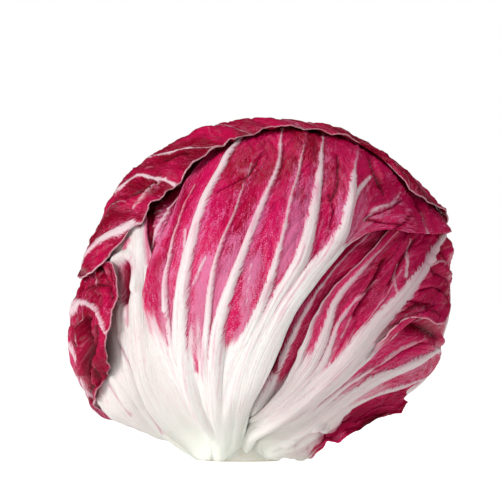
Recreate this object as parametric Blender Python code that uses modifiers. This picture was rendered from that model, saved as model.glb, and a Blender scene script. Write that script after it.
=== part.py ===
"""A head of round red radicchio that stands on its cut stem.

The head is a heart of tightly wrapped leaves, a stub of stem and ten outer leaves. Each outer leaf is
lofted over its own ribs, which fan out from the stem, and is then laid over the leaves that it covers, from
the inside of the head outwards. The frame is in metres, +Z up, with the front towards -Y and the origin at the
centre of the stem's cut face.
"""

import math
from typing import NamedTuple

import bmesh
import bpy
import numpy as np
from mathutils import Vector
from mathutils.bvhtree import BVHTree

MM = 0.001

# The head is a ball a little wider than it is high, and its middle is to the right of its stem.
HEAD_CENTRE_MM = np.array((9.2, 0.0, 57.2))
HEAD_HALF_MM = np.array((61.2, 60.0, 57.2))

# A place given by its front view lies at most this share of the way out to the ball's outline.
RIM = 0.985

# The stem and the ring round it from which the leaves grow.
STEM_TOP_MM = 8.8
STEM_PROFILE_MM = ((0, 8.8), (10.6, 8.8), (11.5, 7.8), (11.8, 4.0), (12.0, 1.3), (12.4, 0.5), (12.2, 0), (0, 0))
STEM_SIDES = 40
STEM_MERGE_MM = 0.01
FOOT_RADIUS_MM = 13.1

# The heart of the head.
HEART_DEPTH_MM = 10.0
HEART_TUCK_MM = 4.0
HEART_LEAVES = 5
HEART_STEP_MM = 1.3
HEART_TWIST = 0.35
HEART_SIDES = 40
HEART_RINGS = 22

# A leaf's sheet: rows from stem to tip, columns for each gap between two ribs, and its thicknesses.
ROW_MM = 7.5
COLUMNS_PER_GAP = 2
BLADE_MM = 0.8
BASE_MM = 1.5
BASE_SHARE = 0.35
THICKEST_MM = 4.0

# How a leaf lies on those below it.
GAP_MM = 0.4
NEAR_SHARES = (0.35, 0.7)
NEAR_MOST_MM = 6.0
NEAR_RAYS = 8
SETTLE_PASSES = 4
SETTLE_STEPS = 6
FAR_MM = 200.0
LOWEST_MM = 0.35
TUCK_FROM = 0.5
TUCK_OVER = 0.35
TUCK_START = 0.125

# The dents of a crumpled blade: the pitches of their waves as shares of the head's radius, and what the waves
# usually come to together. They begin part of the way up a leaf.
DENT_PITCHES = (0.32, 0.4, 0.5, 0.62)
DENT_SUM = 2.2
DENT_FROM = 0.12
DENT_OVER = 0.4

# The waved margin, in shares of a leaf: how far in it reaches at the sides and the tip, and where it begins.
SIDE_REACH = 0.157
TIP_REACH = 0.183
MARGIN_FADE = 1.5
MARGIN_FROM = 0.2
MARGIN_OVER = 0.25
WAVES_AT_TIP = 1.3

# The pleats of the loose leaf sway from side to side, and fade towards the stem and the tip.
PLEAT_SWAY = 0.12
PLEAT_SWAYS = 5
PLEAT_FROM = 0.23
PLEAT_OVER = 0.45
PLEAT_END = 0.29

# A rib's height over the blade: a share of it at the foot, all of it a little higher up, and none at the tip.
CROWN_AT_FOOT = 0.25
CROWN_OVER = 0.17
CROWN_FADE = 0.8

# Colours: the white of the stem and ribs, and the red of the blades, mixed by how much white each leaf shows.
WHITE = np.array((0.86, 0.82, 0.78))
RED = np.array((0.42, 0.02, 0.12))
LEAF_ROUGHNESS = 0.4
STEM_ROUGHNESS = 0.55
HEART_WHITE = 0.15


class Rib(NamedTuple):
    """A line of a leaf from the stem to its edge, and how far it stands out of the blade at the stem, in mm."""

    height: float
    path: list


class Roll(NamedTuple):
    """A part of a leaf's edge that is rolled outwards: past start it turns by turn degrees, about one place."""

    side: str
    start: float
    turn: float
    centre: float
    reach: float


class Leaf(NamedTuple):
    """One outer leaf. Its ribs go from its left edge to its right edge, seen from outside with the stem down.

    Near the stem it lies tuck mm deeper than its ribs say.
    """

    name: str
    ribs: list
    crumple: float = 0.5
    wave: float = 0.8
    waves: float = 3.0
    pleat: float = 0.0
    pleats: float = 4.0
    rolls: tuple = ()
    tuck: float = 0.0
    white: float = 0.3
    seed: int = 1


def ball_radius(direction):
    """The ball's radius in mm along each unit direction."""
    return 1 / np.linalg.norm(direction / HEAD_HALF_MM, axis=-1)


def place(direction, lift):
    """A place on the head: a unit direction from its centre, and the height over the ball in mm."""
    direction = np.asarray(direction, float)
    return np.append(direction / np.linalg.norm(direction), lift)


def front(lift, *spots):
    """Places on the front of the head, each given by its distance right of the stem and its height in mm."""
    found = []
    half = HEAD_HALF_MM + lift
    for right, up in spots:
        x = (right - HEAD_CENTRE_MM[0]) / half[0]
        z = (up - HEAD_CENTRE_MM[2]) / half[2]
        past = max(1.0, math.hypot(x, z) / RIM)
        x, z = x / past, z / past
        found.append(place(np.array((x, -math.sqrt(1 - x * x - z * z), z)) * half, lift))
    return found


def around(lift, *angles):
    """Places anywhere on the head: a heading, 0 in front and 90 on the right, and a climb from -90 to 90."""
    found = []
    for heading, climb in np.radians(angles):
        across = math.cos(climb)
        found.append(place((across * math.sin(heading), -across * math.cos(heading), math.sin(climb)), lift))
    return found


def foot(heading, height):
    """The place where a rib starts: the side of the stem that it grows from, and its height in mm."""
    turn = math.radians(heading)
    start = np.array((FOOT_RADIUS_MM * math.sin(turn), -FOOT_RADIUS_MM * math.cos(turn), height))
    spot = start - HEAD_CENTRE_MM
    reach = np.linalg.norm(spot)
    return [place(spot, reach - float(ball_radius(spot / reach)))]


def ramp(value, start, over):
    """0 up to start, then rising to 1 over the stretch given."""
    return np.clip((value - start) / over, 0, 1)


def inner_left_leaf():
    """A heart-side leaf that shows in the hollow beside the front leaf."""
    return Leaf(
        "leaf_inner_left",
        [
            Rib(
                0.3,
                foot(-118, 8.3)
                + around(-7, (-112, -50), (-108, -15), (-104, 20), (-80, 55)),
            ),
            Rib(
                0.8,
                foot(-98, 8.3)
                + around(-7, (-92, -50), (-86, -15), (-80, 20), (-58, 50)),
            ),
            Rib(
                0.8,
                foot(-78, 8.3)
                + around(-7, (-74, -50), (-66, -15), (-60, 20), (-42, 48)),
            ),
            Rib(
                0.8,
                foot(-58, 8.3)
                + around(-7, (-56, -50), (-50, -15), (-42, 20), (-26, 46)),
            ),
            Rib(
                0.3,
                foot(-38, 8.3)
                + around(-7, (-38, -50), (-32, -15), (-25, 18), (-10, 42)),
            ),
        ],
        crumple=0.6,
        tuck=5,
        white=0.1,
        seed=11,
    )


def inner_right_leaf():
    """The leaf that shows in the gap to the right of the front leaf."""
    return Leaf(
        "leaf_inner_right",
        [
            Rib(
                0.3,
                foot(-26, 8.1)
                + front(
                    -6.4, (0, 12.3), (4.7, 22), (8, 37), (14.7, 53.7), (25.3, 68.7), (36, 82),
                    (43.3, 92),
                ),
            ),
            Rib(
                1.0,
                foot(-16, 8.1)
                + front(
                    -5.6, (1.7, 12), (8.7, 23.7), (14.7, 38), (20.7, 50.3), (29.3, 63), (38, 72),
                    (47.7, 82),
                ),
            ),
            Rib(
                1.0,
                foot(-6, 8.1)
                + front(
                    -5.8, (3, 11.3), (12.3, 22), (20, 35), (25.7, 45.3), (33, 55.3), (41.3, 65.3),
                    (52, 76.3),
                ),
            ),
            Rib(
                0.6,
                foot(4, 8.1)
                + front(
                    -6.2, (4.7, 10.3), (16.7, 20.3), (26, 30.3), (34, 42), (42, 53.7), (50, 65.3),
                    (58, 74.3),
                ),
            ),
            Rib(
                0.3,
                foot(14, 8.1)
                + front(
                    -6.6, (6.7, 9), (20.7, 18.3), (31.3, 26.3), (40.7, 37), (49.3, 47.7), (56.7, 58.7),
                    (62, 67.7),
                ),
            ),
        ],
        tuck=2,
        white=0.3,
        seed=12,
    )


def back_right_leaf():
    """The broad leaf behind the right side, from which only an edge shows in front."""
    return Leaf(
        "leaf_back_right",
        [
            Rib(
                0.4,
                foot(34, 8.3)
                + around(-6, (48, -56), (66, -28), (72, 0), (73, 25))
                + around(-6, (66, 45), (40, 60)),
            ),
            Rib(
                1.2,
                foot(72, 8.2)
                + around(-1.8, (88, -50), (92, -25), (95, 0), (95, 25))
                + around(-4.5, (88, 48), (66, 66)),
            ),
            Rib(
                1.2,
                foot(97, 7.8)
                + around(-1.6, (108, -50), (113, -25), (116, 0), (118, 26))
                + around(-4.8, (118, 50), (112, 74)),
            ),
            Rib(
                2.2,
                foot(122, 7.6)
                + around(-1.8, (130, -50), (135, -25), (138, 0), (142, 26))
                + around(-5, (150, 50), (176, 72)),
            ),
            Rib(
                1.2,
                foot(145, 7.8)
                + around(-2.6, (152, -50), (157, -25), (160, 0), (166, 26))
                + around(-4.5, (178, 48), (206, 62)),
            ),
            Rib(
                0.4,
                foot(168, 8.0)
                + around(-5.0, (172, -50), (178, -25), (183, 0), (190, 24), (203, 42), (224, 54)),
            ),
        ],
        crumple=0.7,
        tuck=6,
        white=0.2,
        seed=13,
    )


def lower_right_leaf():
    """The loose leaf at the lower right, whose lower edge is rolled up."""
    return Leaf(
        "leaf_lower_right",
        [
            Rib(
                0.4,
                foot(0, 6.2)
                + front(
                    -4.6, (6.7, 9), (19.3, 18.7), (29.7, 28.3), (39.3, 38.7), (47.7, 47.7),
                    (55.3, 54.3), (61.7, 57),
                ),
            ),
            Rib(
                1.4,
                foot(7, 5.8)
                + front(
                    -3.4, (7, 8), (20, 16.7), (30, 25.7), (40.7, 35.7), (50, 42.3), (58.3, 47),
                    (64, 51),
                ),
            ),
            Rib(
                1.4,
                foot(15, 5.2)
                + front(
                    -2.8, (7.3, 7), (20.7, 14.7), (31.3, 23.3), (42, 31), (52, 37.3), (59.7, 41.7),
                    (64.7, 44.3),
                ),
            ),
            Rib(
                2.6,
                foot(24, 4.6)
                + front(
                    -2.2, (8, 6.7), (16.7, 10), (25.3, 15.3), (34.3, 21.3), (43, 26.7), (54, 32.3),
                    (63.7, 37),
                )
                + around(-2.6, (92, -20)),
            ),
            Rib(
                1.4,
                foot(36, 4.2)
                + front(
                    -2.2, (9.3, 5), (18, 7.7), (26.7, 12.7), (34.3, 17.7), (42.7, 21.7), (51, 24.7),
                    (58.3, 27),
                )
                + around(-2.4, (85, -30)),
            ),
            Rib(
                1.0,
                foot(50, 4.0)
                + front(
                    -2.2, (11.3, 3.3), (18.7, 4.7), (25.3, 9), (32.7, 13.7), (40.7, 17), (48.3, 20.3),
                    (53.7, 23),
                ),
            ),
            Rib(
                0.4,
                foot(68, 4.0)
                + around(
                    -2.6, (38, -76), (44, -70), (43, -63), (46, -55), (56, -49), (67, -44), (76, -40),
                ),
            ),
        ],
        crumple=0.6,
        rolls=(Roll("right", 0.74, 165, 0.62, 0.52),),
        white=0.5,
        seed=14,
    )


def right_leaf():
    """The leaf to the right of the front one, with its broad rib rising to the right edge of the head."""
    return Leaf(
        "leaf_right",
        [
            Rib(
                0.5,
                foot(-14, 6.2)
                + front(
                    -4.2, (1.3, 11), (8, 19.7), (14, 27.7), (18, 36.3), (21, 43), (26.7, 54.3),
                    (32, 60.7), (37.7, 66), (43.3, 72), (48.7, 78.7), (53.3, 85.3),
                ),
            ),
            Rib(
                2.0,
                foot(-10, 5.8)
                + front(
                    -3.8, (2, 10.3), (10, 19), (18.3, 27.7), (24.3, 36.7), (27.7, 45.3), (30.3, 53.7),
                    (35, 60.3), (40.7, 66.3), (48, 74.3), (54.3, 82),
                ),
            ),
            Rib(
                1.2,
                foot(-6, 5.2)
                + front(
                    -3.4, (2.7, 10), (12, 18.7), (21, 27), (27.3, 35.3), (30.7, 44.3), (35, 52),
                    (41.3, 57.7), (48.7, 66.3), (55.3, 74.3), (59.3, 80.3),
                ),
            ),
            Rib(
                0.8,
                foot(-2, 4.4)
                + front(
                    -2.8, (3.3, 9.7), (13.7, 18), (23.3, 26), (30.7, 33.7), (36.7, 41.7), (43, 50),
                    (49.3, 58.7), (54.7, 68), (59.3, 75), (63.3, 79.7),
                ),
            ),
            Rib(
                3.0,
                foot(3, 3.8)
                + front(
                    -1.8, (4, 9.3), (15, 17.3), (25.7, 26.3), (34.3, 34.7), (40.7, 42), (46.3, 48.3),
                    (51.7, 54), (56.7, 60), (60.7, 64.3), (65, 71.7), (68, 76),
                ),
            ),
            Rib(
                1.0,
                foot(8, 3.8)
                + front(
                    -2, (5, 8.7), (16.3, 16.7), (27, 24.7), (36, 32.3), (43.3, 39.3), (50.7, 46),
                    (56.7, 51.3), (62.3, 57), (66.7, 64.3),
                )
                + around(-2, (88, 9)),
            ),
            Rib(
                0.5,
                foot(13, 4.0)
                + front(
                    -2.2, (6, 8), (17.7, 15.7), (28, 23.3), (36, 30.3), (42.3, 36.3), (48.7, 42.3),
                    (55.3, 46),
                )
                + front(-3, (61.7, 49), (65.7, 53))
                + around(-3, (84, 2)),
            ),
        ],
        wave=1.0,
        rolls=(Roll("right", 0.8, 75, 0.76, 0.16),),
        white=0.35,
        seed=15,
    )


def left_leaf():
    """The pale leaf on the left, which stands a little off the head at its lower edge."""
    return Leaf(
        "leaf_left",
        [
            Rib(
                0.6,
                foot(-112, 6.2)
                + around(0.4, (-94, -59))
                + front(4.4, (-36.7, 13))
                + front(7.4, (-42.7, 15.3), (-45.7, 21.3))
                + around(4.5, (-90, -22))
                + around(0, (-88, -2))
                + around(-2, (-86, 10)),
            ),
            Rib(
                1.6,
                foot(-102, 5.8)
                + around(0, (-88, -61))
                + front(4.5, (-34.7, 15.3), (-39.7, 23.7))
                + around(1, (-77, -16))
                + around(-2.4, (-76, 0), (-73, 17)),
            ),
            Rib(
                2.0,
                foot(-90, 5.4)
                + front(1, (-25.7, 11.3))
                + front(1.5, (-32.7, 20.3), (-37, 29.7))
                + front(-1.6, (-39.7, 40.3), (-40.3, 53), (-39.3, 63), (-38, 70.3)),
            ),
            Rib(
                3.2,
                foot(-77, 5.2)
                + front(
                    -2, (-18.7, 9), (-26.3, 18), (-31.3, 28.3), (-33.7, 40.3), (-34.3, 53.7),
                    (-34, 65.3), (-31.7, 77), (-27.3, 87), (-22, 94.3),
                ),
            ),
            Rib(
                0.8,
                foot(-62, 5.6)
                + front(
                    -3.8, (-14.7, 9), (-22.7, 20.3), (-27.7, 33.7), (-30, 48.7), (-30.3, 62),
                    (-29.3, 71), (-29.3, 79), (-27.7, 86.3), (-23.3, 93.7),
                ),
            ),
        ],
        crumple=0.4,
        white=0.85,
        seed=16,
    )


def front_leaf():
    """The big front leaf. Its ribs lean to the right, and its upper right corner spreads over the head."""
    return Leaf(
        "leaf_front",
        [
            Rib(
                0.5,
                foot(-66, 3.8)
                + front(
                    -2.4, (-13, 9.7), (-20.7, 21.7), (-26.7, 36.3), (-30.3, 51.7), (-31, 62),
                    (-29.7, 69.7), (-25, 80.3), (-20.7, 90.3), (-14, 101), (-7.3, 108.3),
                ),
            ),
            Rib(
                1.0,
                foot(-58, 3.6)
                + front(
                    -2.4, (-10.7, 10.3), (-17.3, 23.7), (-22.3, 38.7), (-24.7, 53.7), (-24, 66.3),
                    (-20, 80.3), (-15, 92), (-9, 102), (-2, 111),
                ),
            ),
            Rib(
                3.0,
                foot(-50, 3.4)
                + front(
                    -2.4, (-9.7, 9.3), (-14.7, 17.7), (-18.3, 27), (-20, 40.3), (-19.3, 55.3),
                    (-17.7, 66.3), (-13.7, 80.3), (-8.3, 93.3), (-2, 104.3), (2.7, 111.3),
                ),
            ),
            Rib(
                1.2,
                foot(-42, 3.4)
                + front(
                    -2.4, (-8, 9.7), (-10.7, 20.3), (-12, 33.7), (-11, 48.7), (-9.3, 62.7),
                    (-6.7, 72.7), (-3.3, 80.3), (0.3, 90.3), (4.3, 102), (8, 112),
                ),
            ),
            Rib(
                2.6,
                foot(-35, 3.4)
                + front(
                    -2.4, (-6.7, 9), (-8.3, 18.7), (-8.7, 30.3), (-7.3, 46.3), (-3.7, 57.7),
                    (2.3, 74.3), (6.7, 85), (11.7, 97.3), (13, 107), (14, 112.3),
                ),
            ),
            Rib(
                1.4,
                foot(-28, 3.4)
                + front(
                    -2.6, (-5, 9), (-4.7, 20.3), (-1.3, 35.3), (4.3, 47.7), (9, 60), (13, 73.7),
                    (16.3, 88), (18.3, 95.3), (20.3, 104.3), (21.3, 111),
                ),
            ),
            Rib(
                2.4,
                foot(-21, 3.4)
                + front(
                    -2.8, (-3.3, 9), (-1.3, 20.3), (3.3, 37), (11.7, 54.3), (19.3, 67), (22.7, 79),
                    (25.3, 92.3),
                )
                + front(-4.2, (26.3, 105.3), (27, 109.7)),
            ),
            Rib(
                3.0,
                foot(-15, 3.6)
                + front(
                    -2.8, (-1.7, 9), (1.3, 20.3), (7, 36.3), (15, 51), (24, 63.3), (31.3, 73.3),
                    (35, 85.7),
                )
                + front(-4.2, (36.7, 96.3), (38, 104.7)),
            ),
            Rib(
                0.8,
                foot(-11, 3.8)
                + front(
                    -2.8, (-0.7, 9.3), (2.7, 20.3), (8.3, 35), (16, 50.7), (25.7, 63.7), (34.3, 73.7),
                    (40, 83),
                )
                + front(-4.2, (46, 91.7), (50.7, 98.7)),
            ),
            Rib(
                0.6,
                foot(-8, 4.0)
                + front(
                    -2.8, (0.3, 9.7), (3.3, 20.3), (9.3, 34.3), (16.7, 50.7), (26.3, 63.3),
                    (35.7, 73.7), (43.3, 79.7), (52, 85),
                )
                + front(-3.4, (60.7, 89)),
            ),
            Rib(
                0.5,
                foot(-5, 4.2)
                + front(
                    -2.8, (1.3, 10), (4, 20.3), (10, 33.7), (17.3, 51), (27, 63.3), (36, 72.7),
                    (44, 76.3), (54, 76), (65.3, 75),
                ),
            ),
        ],
        crumple=0.6,
        white=0.35,
        seed=17,
    )


def left_outer_leaf():
    """The crumpled leaf that hangs loose on the left."""
    return Leaf(
        "leaf_left_outer",
        [
            Rib(
                0.5,
                foot(-168, 5.8)
                + around(-2.4, (-154, -50), (-144, -28), (-138, -8), (-132, 5)),
            ),
            Rib(
                1.4,
                foot(-157, 5.6)
                + around(-1.4, (-140, -51))
                + around(0.6, (-128, -29), (-120, -10))
                + around(-1.8, (-116, 3)),
            ),
            Rib(
                2.2,
                foot(-147, 5.4)
                + around(0, (-127, -51))
                + around(6, (-110, -33))
                + around(4.6, (-104, -13))
                + around(-1, (-101, 0)),
            ),
            Rib(
                1.4,
                foot(-139, 5.4)
                + around(0, (-121, -53))
                + around(10.4, (-99, -35))
                + around(8.2, (-92, -24))
                + around(6.6, (-89, -12))
                + around(0, (-86, -1)),
            ),
            Rib(
                1.2,
                foot(-133, 5.4)
                + around(0, (-117, -54))
                + around(10.4, (-97, -39))
                + around(8.6, (-82, -28))
                + around(6.4, (-71, -13))
                + around(0.4, (-69, 1)),
            ),
            Rib(
                0.5,
                foot(-127, 5.6)
                + around(0, (-113, -56))
                + around(8.4, (-96, -42))
                + around(8.4, (-72, -31))
                + around(5.8, (-54, -17))
                + around(2.4, (-53, -8))
                + around(0.4, (-56, -2)),
            ),
        ],
        crumple=1.2,
        wave=1.2,
        waves=4.0,
        pleat=1.6,
        pleats=3.5,
        white=0.12,
        seed=18,
    )


def lower_back_leaf():
    """A short loose leaf low on the back."""
    return Leaf(
        "leaf_lower_back",
        [
            Rib(
                0.5,
                foot(88, 5.6)
                + around(-2, (103, -62))
                + around(0.6, (113, -46), (119, -28), (125, -12), (132, 0)),
            ),
            Rib(
                1.4,
                foot(108, 5.4)
                + around(-2, (122, -60))
                + around(0.4, (130, -42), (134, -22), (138, -2), (141, 12)),
            ),
            Rib(
                2.8,
                foot(130, 5.2)
                + around(-2, (143, -60))
                + around(0.4, (150, -42), (153, -20), (155, 2), (157, 18)),
            ),
            Rib(
                1.4,
                foot(152, 5.4)
                + around(-2, (164, -60))
                + around(0.4, (170, -42), (173, -22), (174, -2), (173, 14)),
            ),
            Rib(
                0.5,
                foot(172, 5.6)
                + around(-2, (184, -62))
                + around(0.6, (189, -46), (191, -28), (191, -10), (188, 5)),
            ),
        ],
        crumple=0.8,
        wave=2.0,
        waves=3.5,
        rolls=(Roll("tip", 0.72, 36, 0.26, 0.34),),
        tuck=3,
        white=0.3,
        seed=19,
    )


def cap_leaf():
    """The outermost leaf, which comes up the back and folds over the top of the head."""
    return Leaf(
        "leaf_cap",
        [
            Rib(
                0.5,
                foot(158, 3.6)
                + around(0, (158, -40), (157, 0), (150, 28))
                + around(1, (136, 45), (116, 45))
                + front(1, (61.3, 88), (64.7, 82.7), (67, 77.3)),
            ),
            Rib(
                1.2,
                foot(165, 3.4)
                + around(-0.6, (168, -40), (168, 0), (164, 34), (154, 57), (128, 67))
                + front(-2, (47.3, 101), (52, 96.7))
                + front(-0.8, (56, 91)),
            ),
            Rib(
                1.4,
                foot(172, 3.4)
                + around(-0.8, (178, -40), (180, 0), (178, 36), (176, 62), (150, 82))
                + front(-2.4, (29.3, 110), (35.3, 108), (41.3, 103.7)),
            ),
            Rib(
                2.6,
                foot(-180, 3.4)
                + around(-0.8, (-173, -40), (-169, 0), (-164, 38), (-152, 64), (-118, 80))
                + front(-1.2, (6.7, 113.3), (13.3, 112), (20, 110.7)),
            ),
            Rib(
                1.4,
                foot(-172, 3.4)
                + around(-0.6, (-164, -40), (-158, 0), (-150, 36), (-134, 60))
                + front(0, (-16.7, 108.7), (-9.3, 110), (-2.7, 110.3), (2.7, 110.7)),
            ),
            Rib(
                1.4,
                foot(-165, 3.4)
                + around(-0.6, (-157, -41), (-149, -4), (-138, 30), (-122, 48))
                + front(0, (-30, 101), (-22, 103), (-14, 104.3), (-8.3, 106.3)),
            ),
            Rib(
                1.8,
                foot(-158, 3.4)
                + around(-0.6, (-151, -43), (-142, -10), (-127, 22), (-110, 34))
                + front(0, (-40.3, 91), (-35, 93.7), (-29.3, 94), (-23.3, 94.3)),
            ),
            Rib(
                1.0,
                foot(-152, 3.4)
                + around(0, (-147, -45), (-138, -16), (-118, 14))
                + front(0, (-46.7, 79.7), (-42.3, 84.3), (-37.7, 85.3), (-30, 86.7)),
            ),
            Rib(
                2.0,
                foot(-146, 3.6)
                + around(0.4, (-144, -47), (-135, -22), (-120, 3))
                + front(0, (-49, 69), (-45.7, 73.7), (-41.3, 76.7), (-33.7, 80.3)),
            ),
            Rib(
                0.5,
                foot(-140, 3.8)
                + around(1.0, (-141, -48), (-132, -27), (-121, -7), (-106, 1))
                + front(0.4, (-50.7, 59.3), (-46.3, 62.3), (-41, 69.7), (-35.7, 77.3)),
            ),
        ],
        crumple=0.8,
        wave=1.2,
        waves=4.0,
        tuck=2,
        white=0.15,
        seed=20,
    )


def smooth(points, per_gap=None, count=None):
    """Points on a smooth curve through points, along their first axis: per_gap to each gap, or count in all."""
    gaps = np.linalg.norm(np.diff(points[..., :3], axis=0), axis=-1).reshape(len(points) - 1, -1).mean(1)
    knots = np.concatenate(([0], np.cumsum(gaps)))
    if count:
        at = np.linspace(0, knots[-1], count)
    else:
        at = np.interp(np.arange((len(points) - 1) * per_gap + 1) / per_gap, np.arange(len(points)), knots)
    slopes = np.gradient(points, knots, axis=0)
    left = np.clip(np.searchsorted(knots, at, "right") - 1, 0, len(points) - 2)
    extra = (1,) * (points.ndim - 1)
    width = gaps[left].reshape(-1, *extra)
    t = ((at - knots[left]) / gaps[left]).reshape(-1, *extra)
    return (
        points[left] * (1 + 2 * t) * (1 - t) ** 2
        + points[left + 1] * t * t * (3 - 2 * t)
        + slopes[left] * width * t * (1 - t) ** 2
        - slopes[left + 1] * width * t * t * (1 - t)
    )


def crumpled(directions, depth, seed):
    """Soft dents over the head, up to about depth mm either way, from waves that cross in all directions."""
    random = np.random.default_rng(seed)
    height = np.zeros(directions.shape[:-1])
    for pitch in DENT_PITCHES:
        wave = random.normal(size=3)
        wave *= 2 * math.pi / pitch / np.linalg.norm(wave)
        height += np.sin(directions @ wave + random.uniform(0, 2 * math.pi))
    return height * depth / DENT_SUM


def margin_weight(across, along):
    """1 at a leaf's side and tip edges, 0 away from them."""
    nearest = np.minimum(np.minimum(across, 1 - across) / SIDE_REACH, (1 - along) / TIP_REACH)
    return np.clip(1 - nearest, 0, 1) ** MARGIN_FADE * ramp(along, MARGIN_FROM, MARGIN_OVER)


def relief(leaf, directions, across, along):
    """How far a leaf's waves, pleats and dents lift it off its place, in mm."""
    height = crumpled(directions, leaf.crumple, leaf.seed) * ramp(along, DENT_FROM, DENT_OVER)
    round_edge = leaf.waves * 2 * math.pi * (across * WAVES_AT_TIP + along * np.where(across < 0.5, -1, 1))
    height += leaf.wave * margin_weight(across, along) * np.sin(round_edge + leaf.seed)
    sway = PLEAT_SWAY * np.sin(PLEAT_SWAYS * along + leaf.seed)
    pleating = np.sin(2 * math.pi * leaf.pleats * (across + sway))
    pleated = np.minimum(ramp(along, PLEAT_FROM, PLEAT_OVER), ramp(1 - along, 0, PLEAT_END))
    return height + leaf.pleat * pleating * pleated


def spacing(spots):
    """Half the diagonal of the grid's cell round each of its points, in mm."""
    by_column = np.linalg.norm(np.gradient(spots, axis=0), axis=-1)
    by_row = np.linalg.norm(np.gradient(spots, axis=1), axis=-1)
    return np.minimum(np.hypot(by_column, by_row) / 2, NEAR_MOST_MM)


def reach_below(directions, near, trees):
    """How far the leaves below reach from the head's centre within near mm of each direction, in mm."""
    centre = Vector(HEAD_CENTRE_MM * MM)
    reach = np.zeros(directions.shape[:-1])
    turns = np.linspace(0, 2 * math.pi, NEAR_RAYS, endpoint=False)
    for index in np.ndindex(reach.shape):
        out = Vector(directions[index])
        side = out.orthogonal().normalized()
        other = out.cross(side)
        rays = [out]
        for share in NEAR_SHARES if near[index] else ():
            slant = share * near[index] / HEAD_HALF_MM[0]
            rays += [out + (side * math.cos(a) + other * math.sin(a)) * slant for a in turns]
        for ray in rays:
            ray.normalize()
            start = centre + ray * FAR_MM * MM
            hits = [tree.ray_cast(start, -ray, FAR_MM * MM)[3] for tree in trees]
            furthest = max((FAR_MM - hit / MM for hit in hits if hit is not None), default=0.0)
            reach[index] = max(reach[index], furthest)
    return reach


def eased(reach):
    """The same reach with its steps turned into slopes, and nowhere lower."""
    padded = np.pad(reach, 1, mode="edge")
    rows, columns = reach.shape
    mean = sum(padded[i : i + rows, j : j + columns] for i in range(3) for j in range(3)) / 9
    return np.maximum(reach, mean)


def settled(directions, radii, trees):
    """The same radii in mm, raised where the sheet between them would still cut into the leaves below."""
    steps = np.linspace(0, 1, SETTLE_STEPS + 1)
    for _ in range(SETTLE_PASSES):
        sheet = directions * radii[..., None]
        raised = radii.copy()
        for u in steps:
            for v in steps:
                shares = ((0, 0, (1 - u) * (1 - v)), (1, 0, u * (1 - v)), (0, 1, (1 - u) * v), (1, 1, u * v))
                spots = sum(cut(sheet, i, j) * share for i, j, share in shares)
                reach = np.linalg.norm(spots, axis=-1)
                below = reach_below(spots / reach[..., None], np.zeros(reach.shape), trees)
                short = np.clip(below + GAP_MM - reach, 0, None)
                for i, j, share in shares:
                    corner = cut(raised, i, j)
                    if share > 0:
                        np.maximum(corner, cut(radii, i, j) + short, out=corner)
        radii = raised
    return radii


def cut(grid, i, j):
    """The part of a grid that holds corner i, j of each of its cells."""
    columns, rows = grid.shape[:2]
    return grid[i : columns - 1 + i, j : rows - 1 + j]


def rolled(sheet, roll):
    """The sheet with one edge rolled outwards. The sheet is columns by rows of points in mm."""
    if roll.side == "tip":
        turned = rolled(np.swapaxes(sheet, 0, 1), roll._replace(side="right"))
        return np.swapaxes(turned, 0, 1)
    columns, rows = sheet.shape[:2]
    first = round(roll.start * (columns - 1))
    along = np.linspace(0, 1, rows)
    share = np.clip(1 - ((along - roll.centre) / roll.reach) ** 2, 0, 1)
    result = sheet.copy()
    for column in range(first, columns - 1):
        step = sheet[column + 1] - sheet[column]
        length = np.linalg.norm(step, axis=-1, keepdims=True)
        forward = step / length
        outward = sheet[column] - HEAD_CENTRE_MM
        outward -= np.sum(outward * forward, axis=-1, keepdims=True) * forward
        outward /= np.linalg.norm(outward, axis=-1, keepdims=True)
        turn = np.radians(roll.turn) * share * (column - first + 0.5) / (columns - 1 - first)
        result[column + 1] = result[column] + length * (
            forward * np.cos(turn)[:, None] + outward * np.sin(turn)[:, None]
        )
    return result


def thickness(leaf, columns, rows):
    """A leaf's thickness in mm at each column and row: a fleshy base, a thin blade and the ribs on it."""
    along = np.linspace(0, 1, rows)
    blade = BLADE_MM + (BASE_MM - BLADE_MM) * np.clip(1 - along / BASE_SHARE, 0, 1)
    heights = np.zeros(columns)
    heights[::COLUMNS_PER_GAP] = [rib.height for rib in leaf.ribs]
    crown = np.maximum(ramp(along, 0, CROWN_OVER), CROWN_AT_FOOT) * (1 - along) ** CROWN_FADE
    return blade + heights[:, None] * crown


def leaf_sheet(leaf, trees):
    """The inner face of a leaf, as columns by rows of points in mm, and its thickness there."""
    lengths = [np.linalg.norm(np.diff(np.array(rib.path)[:, :3], axis=0), axis=-1).sum() for rib in leaf.ribs]
    rows = 1 + round(np.mean(lengths) * HEAD_HALF_MM[0] / ROW_MM)
    lines = np.stack([smooth(np.array(rib.path), count=rows) for rib in leaf.ribs])
    grid = smooth(lines, per_gap=COLUMNS_PER_GAP)
    directions = grid[..., :3] / np.linalg.norm(grid[..., :3], axis=-1, keepdims=True)
    across = np.linspace(0, 1, len(grid))[:, None] * np.ones(rows)
    along = np.ones((len(grid), 1)) * np.linspace(0, 1, rows)
    tuck = leaf.tuck * ramp(-directions[..., 2], TUCK_FROM, TUCK_OVER) * ramp(along, 0, TUCK_START)
    wanted = ball_radius(directions) + grid[..., 3] - tuck + relief(leaf, directions, across, along)
    near = spacing(HEAD_CENTRE_MM + directions * wanted[..., None])
    clear = eased(reach_below(directions, near, trees)) + GAP_MM
    radii = settled(directions, np.maximum(wanted, clear), trees)
    sheet = HEAD_CENTRE_MM + directions * radii[..., None]
    for roll in leaf.rolls:
        sheet = rolled(sheet, roll)
    thick = thickness(leaf, len(grid), rows)
    bottom = sheet[..., 2] - thick * np.abs(directions[..., 2])
    sheet[..., 2] += np.clip(LOWEST_MM - bottom, 0, None)
    return sheet, thick


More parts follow.
